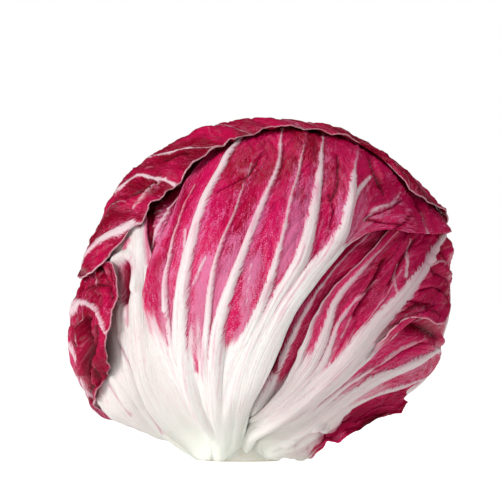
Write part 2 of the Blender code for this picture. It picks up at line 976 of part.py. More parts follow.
def material(name, colour, roughness):
    """A plain Principled material."""
    made = bpy.data.materials.new(name)
    made.use_nodes = True
    shader = made.node_tree.nodes["Principled BSDF"]
    shader.inputs["Base Color"].default_value = (*colour, 1)
    shader.inputs["Roughness"].default_value = roughness
    shader.inputs["Metallic"].default_value = 0
    made.diffuse_color = (*colour, 1)
    return made


def new_object(name, mesh, collection, finish):
    """A smooth-shaded object of the head."""
    obj = bpy.data.objects.new(name, mesh)
    obj.data.materials.append(finish)
    obj.data.shade_smooth()
    collection.objects.link(obj)
    return obj


def split_outwards(shape):
    """Splits each of a sheet's cells in two along its outer diagonal, so that none dips towards the centre."""
    centre = Vector(HEAD_CENTRE_MM * MM)
    for face in list(shape.faces):
        a, b, c, d = face.verts
        reach = [(vert.co - centre).length for vert in (a, b, c, d)]
        if reach[0] + reach[2] > reach[1] + reach[3]:
            bmesh.utils.face_split(face, a, c)
        else:
            bmesh.utils.face_split(face, b, d)


def add_leaf(leaf, trees, collection):
    """Lays one leaf over those in trees: a grid moved onto its sheet and thickened outwards."""
    sheet, thick = leaf_sheet(leaf, trees)
    columns, rows = thick.shape
    shape = bmesh.new()
    bmesh.ops.create_grid(shape, x_segments=columns - 1, y_segments=rows - 1, size=1)
    group = shape.verts.layers.deform.verify()
    for vert in shape.verts:
        column = round((vert.co.x + 1) / 2 * (columns - 1))
        row = round((vert.co.y + 1) / 2 * (rows - 1))
        vert.co = Vector(sheet[column, row] * MM)
        vert[group][0] = thick[column, row] / THICKEST_MM
    split_outwards(shape)
    mesh = bpy.data.meshes.new(leaf.name)
    shape.to_mesh(mesh)
    shape.free()
    colour = WHITE * leaf.white + RED * (1 - leaf.white)
    obj = new_object(leaf.name, mesh, collection, material(leaf.name, colour, LEAF_ROUGHNESS))
    obj.vertex_groups.new(name="thickness")
    wall = obj.modifiers.new("Wall", "SOLIDIFY")
    wall.thickness = THICKEST_MM * MM
    wall.offset = 1
    wall.vertex_group = "thickness"
    wall.thickness_vertex_group = 0
    return obj


def add_heart(collection):
    """The tight inner leaves, one body: a ball whose surface steps down at the edge of each wrapped leaf."""
    shape = bmesh.new()
    bmesh.ops.create_uvsphere(shape, u_segments=HEART_SIDES, v_segments=HEART_RINGS, radius=1)
    for vert in shape.verts:
        direction = np.array(vert.co) / vert.co.length
        turns = math.atan2(direction[1], direction[0]) / (2 * math.pi) + HEART_TWIST * direction[2]
        step = HEART_STEP_MM * (turns * HEART_LEAVES % 1) * math.hypot(direction[0], direction[1])
        tuck = HEART_TUCK_MM * float(ramp(-direction[2], TUCK_FROM, TUCK_OVER))
        radius = float(ball_radius(direction)) - HEART_DEPTH_MM - HEART_STEP_MM + step - tuck
        spot = HEAD_CENTRE_MM + direction * radius
        spot[2] = max(spot[2], STEM_TOP_MM + GAP_MM)
        vert.co = Vector(spot * MM)
    mesh = bpy.data.meshes.new("heart")
    shape.to_mesh(mesh)
    shape.free()
    colour = WHITE * HEART_WHITE + RED * (1 - HEART_WHITE)
    return new_object("heart", mesh, collection, material("heart", colour, LEAF_ROUGHNESS))


def add_stem(collection):
    """The stub of the stem, turned from its profile, with the flat cut face on which the head stands."""
    mesh = bpy.data.meshes.new("stem")
    points = [(x * MM, 0, z * MM) for x, z in STEM_PROFILE_MM]
    mesh.from_pydata(points, [(i, i + 1) for i in range(len(points) - 1)], [])
    obj = new_object("stem", mesh, collection, material("stem", WHITE, STEM_ROUGHNESS))
    turn = obj.modifiers.new("Turn", "SCREW")
    turn.axis = "Z"
    turn.steps = turn.render_steps = STEM_SIDES
    turn.use_merge_vertices = True
    turn.merge_threshold = STEM_MERGE_MM * MM
    return obj


def main():
    """Clears the scene and builds the head from the inside out."""
    for obj in list(bpy.data.objects):
        bpy.data.objects.remove(obj)
    collection = bpy.data.collections.new("radicchio")
    bpy.context.scene.collection.children.link(collection)
    add_stem(collection)
    solids = [add_heart(collection)]
    trees = []
    leaves = (
        inner_left_leaf(),
        inner_right_leaf(),
        back_right_leaf(),
        lower_right_leaf(),
        right_leaf(),
        left_leaf(),
        front_leaf(),
        left_outer_leaf(),
        lower_back_leaf(),
        cap_leaf(),
    )
    for leaf in leaves:
        bpy.context.view_layer.update()
        trees.append(BVHTree.FromObject(solids[-1], bpy.context.evaluated_depsgraph_get()))
        solids.append(add_leaf(leaf, trees, collection))


main()
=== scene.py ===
"""The finished look of a head of round red radicchio that stands on its cut stem.

Each leaf is a fine sheet, lofted over its own ribs and laid over the leaves below it, from the heart
outwards. Its thickness holds the rounded ribs and the fleshy foot, and marks on its mesh tell its finish
where the white of the ribs ends and the red of the blade begins. The frame is in metres, +Z up, with the
front towards -Y and the origin at the centre of the stem's cut face. The places and sizes of the leaves, the
heart and the stem are in millimetres.
"""

import logging
import math
from dataclasses import dataclass, replace
from enum import Enum
from functools import partial

import bmesh
import bpy
import numpy as np
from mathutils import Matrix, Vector, noise
from mathutils.bvhtree import BVHTree


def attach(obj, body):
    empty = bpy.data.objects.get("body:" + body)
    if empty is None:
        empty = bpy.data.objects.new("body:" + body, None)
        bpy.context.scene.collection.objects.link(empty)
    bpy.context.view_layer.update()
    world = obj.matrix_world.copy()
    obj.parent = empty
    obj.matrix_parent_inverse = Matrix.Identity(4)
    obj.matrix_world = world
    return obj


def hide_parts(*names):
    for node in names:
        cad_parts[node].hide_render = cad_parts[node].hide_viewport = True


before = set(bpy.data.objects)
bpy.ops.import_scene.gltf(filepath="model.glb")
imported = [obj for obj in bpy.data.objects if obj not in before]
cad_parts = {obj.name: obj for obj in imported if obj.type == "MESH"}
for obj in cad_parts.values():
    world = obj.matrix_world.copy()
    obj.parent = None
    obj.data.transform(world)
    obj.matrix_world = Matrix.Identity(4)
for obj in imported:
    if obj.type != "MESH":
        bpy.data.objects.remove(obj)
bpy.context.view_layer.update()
BODY = "root"
LOG = logging.getLogger("radicchio")
Array = np.ndarray

# In metres: a millimetre, and what one pixel of the picture covers at the head.
MM = 0.001
PIXEL = MM / 3

# Points closer than this are one point.
TOUCHING_MM = 0.01

# The head is a ball a little wider than it is high, and its middle is to the right of its stem.
HEAD_CENTRE_MM = np.array((9.2, 0.0, 57.2))
HEAD_HALF_MM = np.array((61.2, 60.0, 57.2))
RIM = 0.985
FOOT_RADIUS_MM = 13.1

# The coarse sheet that a leaf is laid out on before it is refined. Here and below, a stretch is given by
# its start and its length.
ROW_MM = 7.5
COLUMNS_PER_GAP = 2
GAP_MM = 0.4
NEAR_SHARES = (0.35, 0.7)
NEAR_MOST_MM = 6.0
NEAR_RAYS = 8
FAR_MM = 200.0
TUCK_STRETCH = (0.5, 0.35)
TUCK_START = 0.125

# The dents of a crumpled blade, as on the solid leaves.
DENT_PITCHES = (0.32, 0.4, 0.5, 0.62)
DENT_SUM = 2.2
DENT_STRETCH = (0.12, 0.4)

# The waved margin, in shares of a leaf, and the pleats of the loose leaf.
SIDE_REACH = 0.157
TIP_REACH = 0.183
MARGIN_FADE = 1.5
MARGIN_STRETCH = (0.2, 0.25)
WAVES_AT_TIP = 1.3
PLEAT_SWAY = 0.12
PLEAT_SWAYS = 5
PLEAT_STRETCH = (0.23, 0.45)
PLEAT_END = 0.29

# A leaf's thickness: the blade, its thin edge, the fleshy foot, and the ribs over the blade. What is
# thicker than its skin lifts the whole sheet.
BLADE_MM = 0.65
EDGE_SHARE = 0.55
EDGE_MM = 2.5
BASE_MM = 1.5
BASE_SHARE = 0.35
SKIN_MM = 1.0
CROWN_AT_FOOT = 0.25
CROWN_OVER = 0.17
CROWN_FADE = 0.8
CROWN_SPREAD = 0.72
CROWN_LEAST_MM = 1.1

# How the fine sheet clears the leaves below, and how low it may come.
CLEAR_MM = 0.12
GROWN_CELLS = 2
SOFT_PASSES = 10
LOWEST_MM = 0.35

# The edges of the leaves melt into one another near the stem.
FUSE_SHARE = 0.2
FREE_OVER = 0.15
BURY_FROM = 0.4
BURY_MM = 0.9
BURY_MOST_MM = 4.0
BURY_REACH_MM = 7.0
BURY_THINS = 0.6

# Where the sheet stands nearly on edge its widths are taken with no less slant than this.
LEAST_SLANT = 0.5

# Marks are laid on the front half only, from where their lines land on it. Their distances count its depth
# in part. A red patch fades into the white round it.
FACING_Y = 0.3
FACING_OVER = 0.2
LANDING_MM = 0.8
DEPTH_SHARE = 0.4
FLECK_SLOPE = 8.0
# A darker patch paints this share of shade at its middle.
PAINTED_SHADE_SHARE = 0.25

# The white of a rib is frayed in full where half its width is this much, and hardly where it is thin.
FRAYED_MM = 1.6
FRAYED_LEAST = 0.15

# Fine relief fades where the leaf's ribs are squeezed together to this share of their widest spacing.
SQUEEZE_STRETCH = (0.12, 0.4)
CALM_PASSES = 16

# Painted shade darkens the valley beside a roll, over this share of the leaf's width.
VALLEY_SHARE = 0.07
VALLEY_PAINTED_SHADE = 0.75

# The leaves are one flesh at their feet, up to this share of their length.
FOOT_STRETCH = (0.03, 0.09)

# The blade is quilted between side veins, which leave a rib at this slope.
QUILT_SLOPE = 2.2

# A rib's thin end fades over this share of its length. Crowns and creases are rounded by this power.
THIN_FADE = 0.08
ROUNDING = 1.5

# How far the fine relief of the blade runs into the white beside it, and where along the leaf it starts.
WHITE_MM = 0.6
WHITE_BASE_MM = 12
WHITE_CALM = 0.8
RELIEF_STRETCH = (0.1, 0.2)
LONG_CREASE_WIDE = 0.12
CROSS_CREASE_WIDE = 0.1

# How far in from its free edge a leaf is ruffled, and how its lip lifts.
RUFFLE_HEIGHT = 1.8
RUFFLE_MM = 4
LIP_MM = 1.8
LIP_LIFT = 0.75
LIP_WAVE = 0.8
NICK_MM = 5

# The white flesh is fluted from here along the leaf, and no wall is thinner than this.
FLUTE_STRETCH = (0.02, 0.2)
FLESHY_MM = 0.5
FLESHY_BASE_MM = 15
LEAST_MM = 0.3

# How finely a mark's line is followed, and the least slant that a distance is divided by.
STEPS_PER_SPOT = 5
LEAST_DIVISOR = 0.01
TINY = 1e-9

# Noises with different seeds lie this far apart in one noise.
SEED_APART = 17.3
SEED_START = 0.37


def ramp(value: Array, start: float, over: float) -> Array:
    """0 up to start, then rising to 1 over the stretch given."""
    return np.clip((value - start) / over, 0, 1)


def ease(value: Array) -> Array:
    """A soft step from 0 to 1, for a value that runs from 0 to 1."""
    held = np.clip(value, 0, 1)
    return held * held * (3 - 2 * held)


def unit(vectors: Array) -> Array:
    """The vectors along the last axis, each made one long."""
    return vectors / np.maximum(np.linalg.norm(vectors, axis=-1, keepdims=True), TINY)


@dataclass(frozen=True)
class Grain:
    """A layer of noise on a leaf: its two pitches in mm, its height, and which of many noises it is."""

    pitch: float
    other_pitch: float
    height: float
    kin: int

    def plain(self, first: Array, second: Array | float, seed: int) -> Array:
        """Smooth noise, about -0.6 to 0.6, without its height.

        Args:
            first: the distances over the first pitch, in mm.
            second: the distances over the other one.
            seed: the leaf's own seed.

        Returns:
            The noise at each place, in the shape of the first distances.
        """
        across = first / self.pitch
        along = np.broadcast_to(second / self.other_pitch, across.shape)
        shift = SEED_APART * (seed + self.kin) + SEED_START
        flat = zip(across.ravel(), along.ravel())
        values = np.fromiter((noise.noise(Vector((x, y, shift))) for x, y in flat), float, across.size)
        return values.reshape(across.shape)

    def creases(self, first: Array, second: Array, seed: int, wide: float) -> Array:
        """Sharp creases along the lines where the noise crosses its middle."""
        away = np.abs(self.plain(first, second, seed))
        return self.height * np.clip(1 - away / wide, 0, 1) ** ROUNDING


def layered(grains: tuple[Grain, ...], first: Array, second: Array | float, seed: int) -> Array:
    """The sum of some layers of noise."""
    return sum(grain.height * grain.plain(first, second, seed) for grain in grains)


# The second pitch of the side nicks only sets the two edges apart.
PUCKERS = (Grain(6, 10, 1.6, 0), Grain(2.4, 5, 0.35, 1))
LONG_CREASES = Grain(9, 20, 1, 2)
CROSS_CREASES = Grain(11, 9, 0.6, 3)
RUFFLE = Grain(4.5, 9, 1, 4)
SIDE_NICKS = (Grain(6, 1 / 3.1, 1, 5), Grain(2, 1 / 5.3, 0.4, 6))
TIP_NICKS = (Grain(6, 1, 1, 7), Grain(2, 1, 0.4, 8))
FLUTES = (Grain(4.5, 60, 1, 9), Grain(1.8, 40, 0.4, 10))
QUILT = (Grain(3.6, 14, 1, 11), Grain(1.8, 5, 0.5, 12))
BROKEN_RIM = Grain(7, 7, 1, 13)


def ball_radius(direction: Array) -> Array:
    """The ball's radius in mm along each unit direction."""
    return 1 / np.linalg.norm(direction / HEAD_HALF_MM, axis=-1)


def place(direction: Array, lift: float) -> Array:
    """A place on the head: a unit direction from its centre, and the height over the ball in mm."""
    direction = np.asarray(direction, float)
    return np.append(direction / np.linalg.norm(direction), lift)


def front(lift: float, *spots: tuple[float, float]) -> list[Array]:
    """Places on the front of the head, each given by its distance right of the stem and its height in mm."""
    found = []
    half = HEAD_HALF_MM + lift
    for right, up in spots:
        x = (right - HEAD_CENTRE_MM[0]) / half[0]
        z = (up - HEAD_CENTRE_MM[2]) / half[2]
        past = max(1.0, math.hypot(x, z) / RIM)
        x, z = x / past, z / past
        found.append(place(np.array((x, -math.sqrt(1 - x * x - z * z), z)) * half, lift))
    return found


def around(lift: float, *angles: tuple[float, float]) -> list[Array]:
    """Places anywhere on the head: a heading, 0 in front and 90 on the right, and a climb from -90 to 90."""
    found = []
    for heading, climb in np.radians(angles):
        across = math.cos(climb)
        spot = (across * math.sin(heading), -across * math.cos(heading), math.sin(climb))
        found.append(place(spot, lift))
    return found


def foot(heading: float, height: float) -> list[Array]:
    """The place where a rib starts: the side of the stem that it grows from, and its height in mm."""
    turn = math.radians(heading)
    start = np.array((FOOT_RADIUS_MM * math.sin(turn), -FOOT_RADIUS_MM * math.cos(turn), height))
    spot = start - HEAD_CENTRE_MM
    reach = np.linalg.norm(spot)
    return [place(spot, reach - float(ball_radius(spot / reach)))]


def smooth(points: Array, per_gap: int = 0, count: int = 0) -> Array:
    """Points on a smooth curve through points, along their first axis.

    Args:
        points: the places to pass through; the first three numbers of each are its position.
        per_gap: how many steps to take in each gap between two points.
        count: how many points to give in all, evenly along the curve, instead of per_gap.

    Returns:
        The new points, with the other axes as they were.
    """
    steps = np.diff(points, axis=0)
    gaps = np.linalg.norm(steps[..., :3], axis=-1).reshape(len(points) - 1, -1).mean(1)
    knots = np.concatenate(([0], np.cumsum(gaps)))
    if count:
        at = np.linspace(0, knots[-1], count)
    else:
        turns = np.arange((len(points) - 1) * per_gap + 1) / per_gap
        at = np.interp(turns, np.arange(len(points)), knots)
    slopes = np.gradient(points, knots, axis=0)
    left = np.clip(np.searchsorted(knots, at, "right") - 1, 0, len(points) - 2)
    extra = (1,) * (points.ndim - 1)
    width = gaps[left].reshape(-1, *extra)
    t = ((at - knots[left]) / gaps[left]).reshape(-1, *extra)
    return (
        points[left] * (1 + 2 * t) * (1 - t) ** 2
        + points[left + 1] * t * t * (3 - 2 * t)
        + slopes[left] * width * t * (1 - t) ** 2
        - slopes[left + 1] * width * t * t * (1 - t)
    )


def neighbours(field: Array) -> Array:
    """The nine values at and round each cell of a grid, stacked on a new first axis."""
    padded = np.pad(field, 1, mode="edge")
    columns, rows = field.shape
    return np.stack([padded[i : i + columns, j : j + rows] for i in range(3) for j in range(3)])


def softened(field: Array, passes: int) -> Array:
    """The same field, blurred by so many passes."""
    for _ in range(passes):
        field = neighbours(field).mean(0)
    return field


class Slot(Enum):
    """The record's material slots."""

    STEM = "stem"
    HEART = "heart_leaf"
    RED = "red_leaf"
    RIBBED = "ribbed_leaf"
    PALE = "pale_leaf"


class Edge(Enum):
    """The edge of a leaf that a roll turns."""

    RIGHT = "right"
    TIP = "tip"


@dataclass(frozen=True)
class Rib:
    """One rib of a leaf, from the stem to the leaf's edge.

    height: how far it stands out of the blade at the stem, mm.
    width: how wide its white is halfway along it, mm.
    end: the share of its length at which that width has tapered to nothing; over 1 it reaches the edge.
    thin, reach: past the taper it stays thin mm wide up to the share reach.
    white: the share of its length up to which the blade beside it is white too.
    parts: the parts of its path over the head.
    """

    height: float
    width: float
    end: float
    thin: float
    reach: float
    white: float
    parts: list[list[Array]]

    @property
    def path(self) -> Array:
        """The places on the head that it passes."""
        return np.array(sum(self.parts, []))

    def half_width(self, along: Array) -> Array:
        """Half the width of the white at each share of the rib's length, in mm."""
        if not self.width:
            return 0 * along
        taper = self.width * (np.clip(self.end - along, 0, None) / (self.end - 0.5)) ** 2
        thin = self.thin * ease((self.reach - along) / THIN_FADE)
        return np.maximum(taper, thin) / 2


def side_edge(height: float, white: float, *parts: list[Array]) -> Rib:
    """A side edge of a leaf: a rib that has no white line of its own."""
    return Rib(height, 0, 1, 0, 0, white, list(parts))


@dataclass(frozen=True)
class Roll:
    """A part of a leaf's edge that is rolled outwards.

    start: the share of the leaf's width or length past which it rolls, by turn degrees at its edge.
    centre, reach: the middle of the rolled part, and how far it goes to both sides, in shares.
    """

    edge: Edge
    start: float
    turn: float
    centre: float
    reach: float


class Kind(Enum):
    """What a mark on the front of a leaf is."""

    VEIN = "a white vein"
    FLECK = "a red patch in the white"
    # A fold, raised or sunk; where it sinks, its darkness is painted shade.
    FOLD = "a fold, dark where it sinks"
    # A sunk hollow, red in its own colour and darkened with painted shade.
    HOLLOW = "a dark red hollow"
    # A patch of painted sheen: a paler pink painted into the blade where a lamp's gleam lies.
    PAINTED_SHEEN = "a satin patch"
    # A patch of painted shade.
    DARK = "a darker patch"


@dataclass(frozen=True)
class Mark:
    """A mark on a leaf, in mm: its widths at its two ends, its rise, and its line in the front view."""

    kind: Kind
    widths: tuple[float, float]
    rise: float
    spots: tuple[tuple[float, float], ...]

    def inside(self, places: Array, facing: Array, depth: float) -> tuple[Array, Array]:
        """How far each place is inside the mark, and half the mark's width there, in mm.

        Args:
            places: the places on a leaf, in mm.
            facing: which of them are on the front, where the mark can be.
            depth: the share of their depth that the distances count.

        Returns:
            The two distances at each place.
        """
        flat = np.array([(*spot, 0) for spot in self.spots], float)
        line = smooth(flat, per_gap=STEPS_PER_SPOT)[:, [0, 2, 1]]
        widths = np.linspace(*self.widths, len(line)) / 2
        seen = places[facing]
        for spot in line:
            near = np.exp(-np.sum((seen[:, [0, 2]] - spot[[0, 2]]) ** 2, axis=-1) / LANDING_MM**2)
            spot[1] = np.sum(near * seen[:, 1]) / max(np.sum(near), TINY)
        squeeze = np.array((1, depth, 1))
        best = np.full(places.shape[:-1], -FAR_MM)
        half = np.ones(places.shape[:-1])
        for start, end, wide, wide_end in zip(line * squeeze, line[1:] * squeeze, widths, widths[1:]):
            step = end - start
            away = places * squeeze - start
            share = np.clip(away @ step / (step @ step), 0, 1)
            here = wide + (wide_end - wide) * share
            inside = here - np.linalg.norm(away - share[..., None] * step, axis=-1)
            half = np.where(inside > best, here, half)
            best = np.maximum(best, inside)
        return np.where(facing, best, -FAR_MM), half


def new_mark(kind: Kind, wide: float, wide_end: float, rise: float, *spots: tuple[float, float]) -> Mark:
    """A mark of one kind, from its width at its start to its width at its end."""
    return Mark(kind, (wide, wide_end), rise, spots)


# The fold and hollow marks paint shade where they sink; the dark marks paint patches of shade, and the sheen
# marks patches of sheen.
vein, fleck, fold, hollow, painted_sheen, dark = (partial(new_mark, kind) for kind in Kind)


class Layers:
    """The pieces laid so far, which the next leaf lies on."""

    def __init__(self) -> None:
        """Starts with nothing laid."""
        self.trees: list[BVHTree] = []

    def add(self, piece: bpy.types.Object) -> None:
        """Takes in one more piece, as its modifiers leave it."""
        bpy.context.view_layer.update()
        self.trees.append(BVHTree.FromObject(piece, bpy.context.evaluated_depsgraph_get()))

    def reach(self, directions: Array, near: Array | None = None) -> Array:
        """How far the pieces reach from the head's centre along each direction.

        Args:
            directions: unit directions from the centre.
            near: how far round each direction to look as well, in mm.

        Returns:
            The reach in mm, 0 where no piece lies.
        """
        centre = Vector(HEAD_CENTRE_MM * MM)
        reach = np.zeros(directions.shape[:-1])
        turns = np.linspace(0, 2 * math.pi, NEAR_RAYS, endpoint=False)
        for index in np.ndindex(reach.shape):
            out = Vector(directions[index])
            rays = [out]
            if near is not None and near[index] > 0:
                sideways = out.orthogonal().normalized()
                other = out.cross(sideways)
                for share in NEAR_SHARES:
                    slant = share * near[index] / HEAD_HALF_MM[0]
                    round_it = (sideways * math.cos(turn) + other * math.sin(turn) for turn in turns)
                    rays += [(out + away * slant).normalized() for away in round_it]
            for ray in rays:
                start = centre + ray * (FAR_MM * MM)
                for tree in self.trees:
                    hit = tree.ray_cast(start, -ray, FAR_MM * MM)[3]
                    if hit is not None:
                        reach[index] = max(reach[index], FAR_MM - hit / MM)
        return reach


@dataclass
class Sheet:
    """The inner face of a leaf on its fine grid, columns by rows, and what is known at each of its points."""

    directions: Array
    radii: Array
    gaps: int

    @property
    def spots(self) -> Array:
        """The points' places in mm."""
        return HEAD_CENTRE_MM + self.directions * self.radii[..., None]

    def move(self, spots: Array) -> None:
        """Puts the points at new places."""
        out = spots - HEAD_CENTRE_MM
        self.radii = np.linalg.norm(out, axis=-1)
        self.directions = out / self.radii[..., None]

    def measure(self) -> None:
        """Works out each point's share across and along the leaf, and its distances over it in mm."""
        columns, rows = self.radii.shape
        spots = self.spots
        self.across = np.linspace(0, 1, columns)[:, None] * np.ones(rows)
        self.along = np.ones((columns, 1)) * np.linspace(0, 1, rows)
        ones = np.ones((columns, rows))
        wide = np.linalg.norm(np.diff(spots, axis=0), axis=-1)
        long = np.linalg.norm(np.diff(spots, axis=1), axis=-1)
        self.right_mm = np.concatenate((0 * ones[:1], np.cumsum(wide, axis=0)))
        self.up_mm = np.concatenate((0 * ones[:, :1], np.cumsum(long, axis=1)), axis=1)
        self.lean_right = unit(np.gradient(spots, axis=0))
        self.lean_up = unit(np.gradient(spots, axis=1))
        self.slant = np.linalg.norm(np.cross(self.lean_right, self.lean_up), axis=-1)
        self.side_mm = np.minimum(self.right_mm, self.right_mm[-1] - self.right_mm) * self.slant
        self.tip_mm = (self.up_mm[:, -1:] - self.up_mm) * self.slant
        self.edge_mm = np.minimum(self.side_mm, self.tip_mm)
        self.width_mm = self.right_mm[-1].max()
        self.length_mm = self.up_mm[:, -1].mean()
        self.fan_mm = self.across * self.width_mm
        spread = np.gradient(self.right_mm, axis=0) / np.gradient(self.fan_mm, axis=0)
        self.room = ease(ramp(spread * self.slant, *SQUEEZE_STRETCH))


@dataclass
class Leaf:
    """One leaf: its guides, how its blade is crumpled, and its finish. Heights and lengths are in mm.

    ribs: from its left edge to its right edge, seen from outside with the stem down.
    crumple, wave, waves: the height of its broad dents, and the height and number of the waves of its margin.
    pleat, pleats: the height and number of its pleats.
    rolls: the parts of its edge that are rolled outwards.
    tuck: how much deeper than its ribs say it lies near the stem.
    seed: which of many like forms it takes.
    cell: the step of its fine grid.
    pucker, crease, quilt: the height of the fine dents, folds and rows of dents in its blade.
    ruffle, lip, nick: how far its free edge waves, lifts and wanders.
    flute: the height of the furrows in its white.
    painted_sheen: how strong its painted sheen is.
    blush: how far its white turns a greyed pink, partly its own pink and partly painted shade.
    satin, blush: how strong its gleam is, and how pink its white.
    fuse_left, fuse_right: the share of its length up to which that edge is grown together with its neighbour.
    marks: the marks on its front.
    depth: the share of their depth that its marks' distances count.
    """

    name: str
    slot: Slot
    ribs: tuple[Rib, ...]
    crumple: float = 0.5
    wave: float = 0.8
    waves: float = 3.0
    pleat: float = 0.0
    pleats: float = 4.0
    rolls: tuple[Roll, ...] = ()
    tuck: float = 0.0
    seed: int = 1
    cell: float = 0.8
    pucker: float = 0.35
    crease: float = 0.35
    ruffle: float = 0.5
    lip: float = 0.5
    nick: float = 0.6
    quilt: float = 0.45
    flute: float = 0.55
    rim: float = 0.0
    painted_sheen: float = 1.0
    blush: float = 0.0
    fuse_left: float = FUSE_SHARE
    fuse_right: float = FUSE_SHARE
    marks: tuple[Mark, ...] = ()
    depth: float = DEPTH_SHARE

    def relief(self, directions: Array) -> Array:
        """How far the leaf's broad waves, pleats and dents lift it off its place, in mm."""
        columns, rows = directions.shape[:2]
        across = np.linspace(0, 1, columns)[:, None] * np.ones(rows)
        along = np.ones((columns, 1)) * np.linspace(0, 1, rows)
        random = np.random.default_rng(self.seed)
        dents = np.zeros((columns, rows))
        for pitch in DENT_PITCHES:
            wave = random.normal(size=3)
            wave *= 2 * math.pi / pitch / np.linalg.norm(wave)
            dents += np.sin(directions @ wave + random.uniform(0, 2 * math.pi))
        height = dents * self.crumple / DENT_SUM * ramp(along, *DENT_STRETCH)
        nearest = np.minimum(np.minimum(across, 1 - across) / SIDE_REACH, (1 - along) / TIP_REACH)
        margin = np.clip(1 - nearest, 0, 1) ** MARGIN_FADE * ramp(along, *MARGIN_STRETCH)
        turn = self.waves * 2 * math.pi * (across * WAVES_AT_TIP + along * np.where(across < 0.5, -1, 1))
        height += self.wave * margin * np.sin(turn + self.seed)
        sway = PLEAT_SWAY * np.sin(PLEAT_SWAYS * along + self.seed)
        pleated = np.minimum(ramp(along, *PLEAT_STRETCH), ramp(1 - along, 0, PLEAT_END))
        return height + self.pleat * pleated * np.sin(2 * math.pi * self.pleats * (across + sway))

    def coarse(self, below: Layers) -> Array:
        """The leaf's inner face on a coarse grid, over what lies below: directions, then radii in mm."""
        steps = [np.diff(rib.path[:, :3], axis=0) for rib in self.ribs]
        lengths = [np.linalg.norm(step, axis=-1).sum() for step in steps]
        rows = 1 + round(np.mean(lengths) * HEAD_HALF_MM[0] / ROW_MM)
        lines = np.stack([smooth(rib.path, count=rows) for rib in self.ribs])
        grid = smooth(lines, per_gap=COLUMNS_PER_GAP)
        directions = unit(grid[..., :3])
        along = np.linspace(0, 1, rows)
        tuck = self.tuck * ramp(-directions[..., 2], *TUCK_STRETCH) * ramp(along, 0, TUCK_START)
        wanted = ball_radius(directions) + grid[..., 3] - tuck + self.relief(directions)
        spots = HEAD_CENTRE_MM + directions * wanted[..., None]
        by_column = np.linalg.norm(np.gradient(spots, axis=0), axis=-1)
        by_row = np.linalg.norm(np.gradient(spots, axis=1), axis=-1)
        near = np.minimum(np.hypot(by_column, by_row) / 2, NEAR_MOST_MM)
        reach = below.reach(directions, near)
        clear = np.maximum(reach, softened(reach, 1)) + GAP_MM
        raised = np.clip(clear - wanted, 0, None) * ramp(along, *FOOT_STRETCH)
        return np.dstack((directions, wanted + raised))

    def refined(self, coarse: Array) -> Sheet:
        """The same face on the fine grid."""
        spots = HEAD_CENTRE_MM + coarse[..., :3] * coarse[..., 3:]
        wide = np.linalg.norm(np.diff(spots, axis=0), axis=-1).sum(0).max()
        long = np.linalg.norm(np.diff(spots, axis=1), axis=-1).sum(1).mean()
        columns, rows = coarse.shape[:2]
        per_column = max(2, round(wide / self.cell / (columns - 1)))
        per_row = max(2, round(long / self.cell / (rows - 1)))
        grid = smooth(coarse, per_gap=per_column)
        grid = np.swapaxes(smooth(np.swapaxes(grid, 0, 1), per_gap=per_row), 0, 1)
        sheet = Sheet(unit(grid[..., :3]), grid[..., 3], COLUMNS_PER_GAP * per_column)
        sheet.measure()
        return sheet

    def mark(self, sheet: Sheet) -> None:
        """Works out where the ribs, the white and the side veins are on the sheet.

        Puts on it: rib_mm, the distance to the nearest rib; inside_mm, how far a point is inside the white
        of a rib or vein, and half_mm, half the width of that; base_mm, how far it is inside the white of the
        leaf's foot; crown_mm, how far the ribs stand out; lift_mm; shade, the painted shade of sinking folds,
        hollows and darker patches; painted_sheen, the painted sheen of its sheen patches; and frayed.
        """
        self.mark_ribs(sheet)
        self.mark_front(sheet)
        sheet.frayed = FRAYED_LEAST + (1 - FRAYED_LEAST) * ease(sheet.half_mm / FRAYED_MM)

    def mark_ribs(self, sheet: Sheet) -> None:
        """Puts the ribs, the white of the foot and the white rim on the sheet."""
        shape = sheet.radii.shape
        sheet.rib_mm = np.full(shape, FAR_MM)
        sheet.inside_mm = np.full(shape, -FAR_MM)
        sheet.half_mm = np.zeros(shape)
        sheet.crown_mm = np.zeros(shape)
        for number, rib in enumerate(self.ribs):
            column = number * sheet.gaps
            away = np.abs(sheet.right_mm - sheet.right_mm[column]) * np.maximum(sheet.slant, LEAST_SLANT)
            half = rib.half_width(sheet.along)
            if rib.width:
                sheet.rib_mm = np.minimum(sheet.rib_mm, away)
                self.whiten(sheet, np.where(half > 0, half - away, -away - 1), half)
            spread = np.maximum(2 * half * CROWN_SPREAD, CROWN_LEAST_MM)
            rise = np.maximum(ramp(sheet.along, 0, CROWN_OVER), CROWN_AT_FOOT)
            rise = rise * (1 - sheet.along) ** CROWN_FADE
            crown = rib.height * rise * np.clip(1 - (away / spread) ** 2, 0, 1) ** ROUNDING
            sheet.crown_mm = np.maximum(sheet.crown_mm, crown)
        shares = np.linspace(0, 1, len(self.ribs))
        whites = np.interp(sheet.across[:, 0], shares, [rib.white for rib in self.ribs])
        sheet.base_mm = (whites[:, None] - sheet.along) * sheet.length_mm
        if self.rim:
            broken = BROKEN_RIM.plain(sheet.fan_mm, sheet.up_mm, self.seed)
            slant = np.maximum(sheet.slant, LEAST_SLANT) / np.maximum(sheet.slant, LEAST_DIVISOR)
            self.whiten(sheet, self.rim * (1 + broken) - sheet.edge_mm * slant, 0.0)

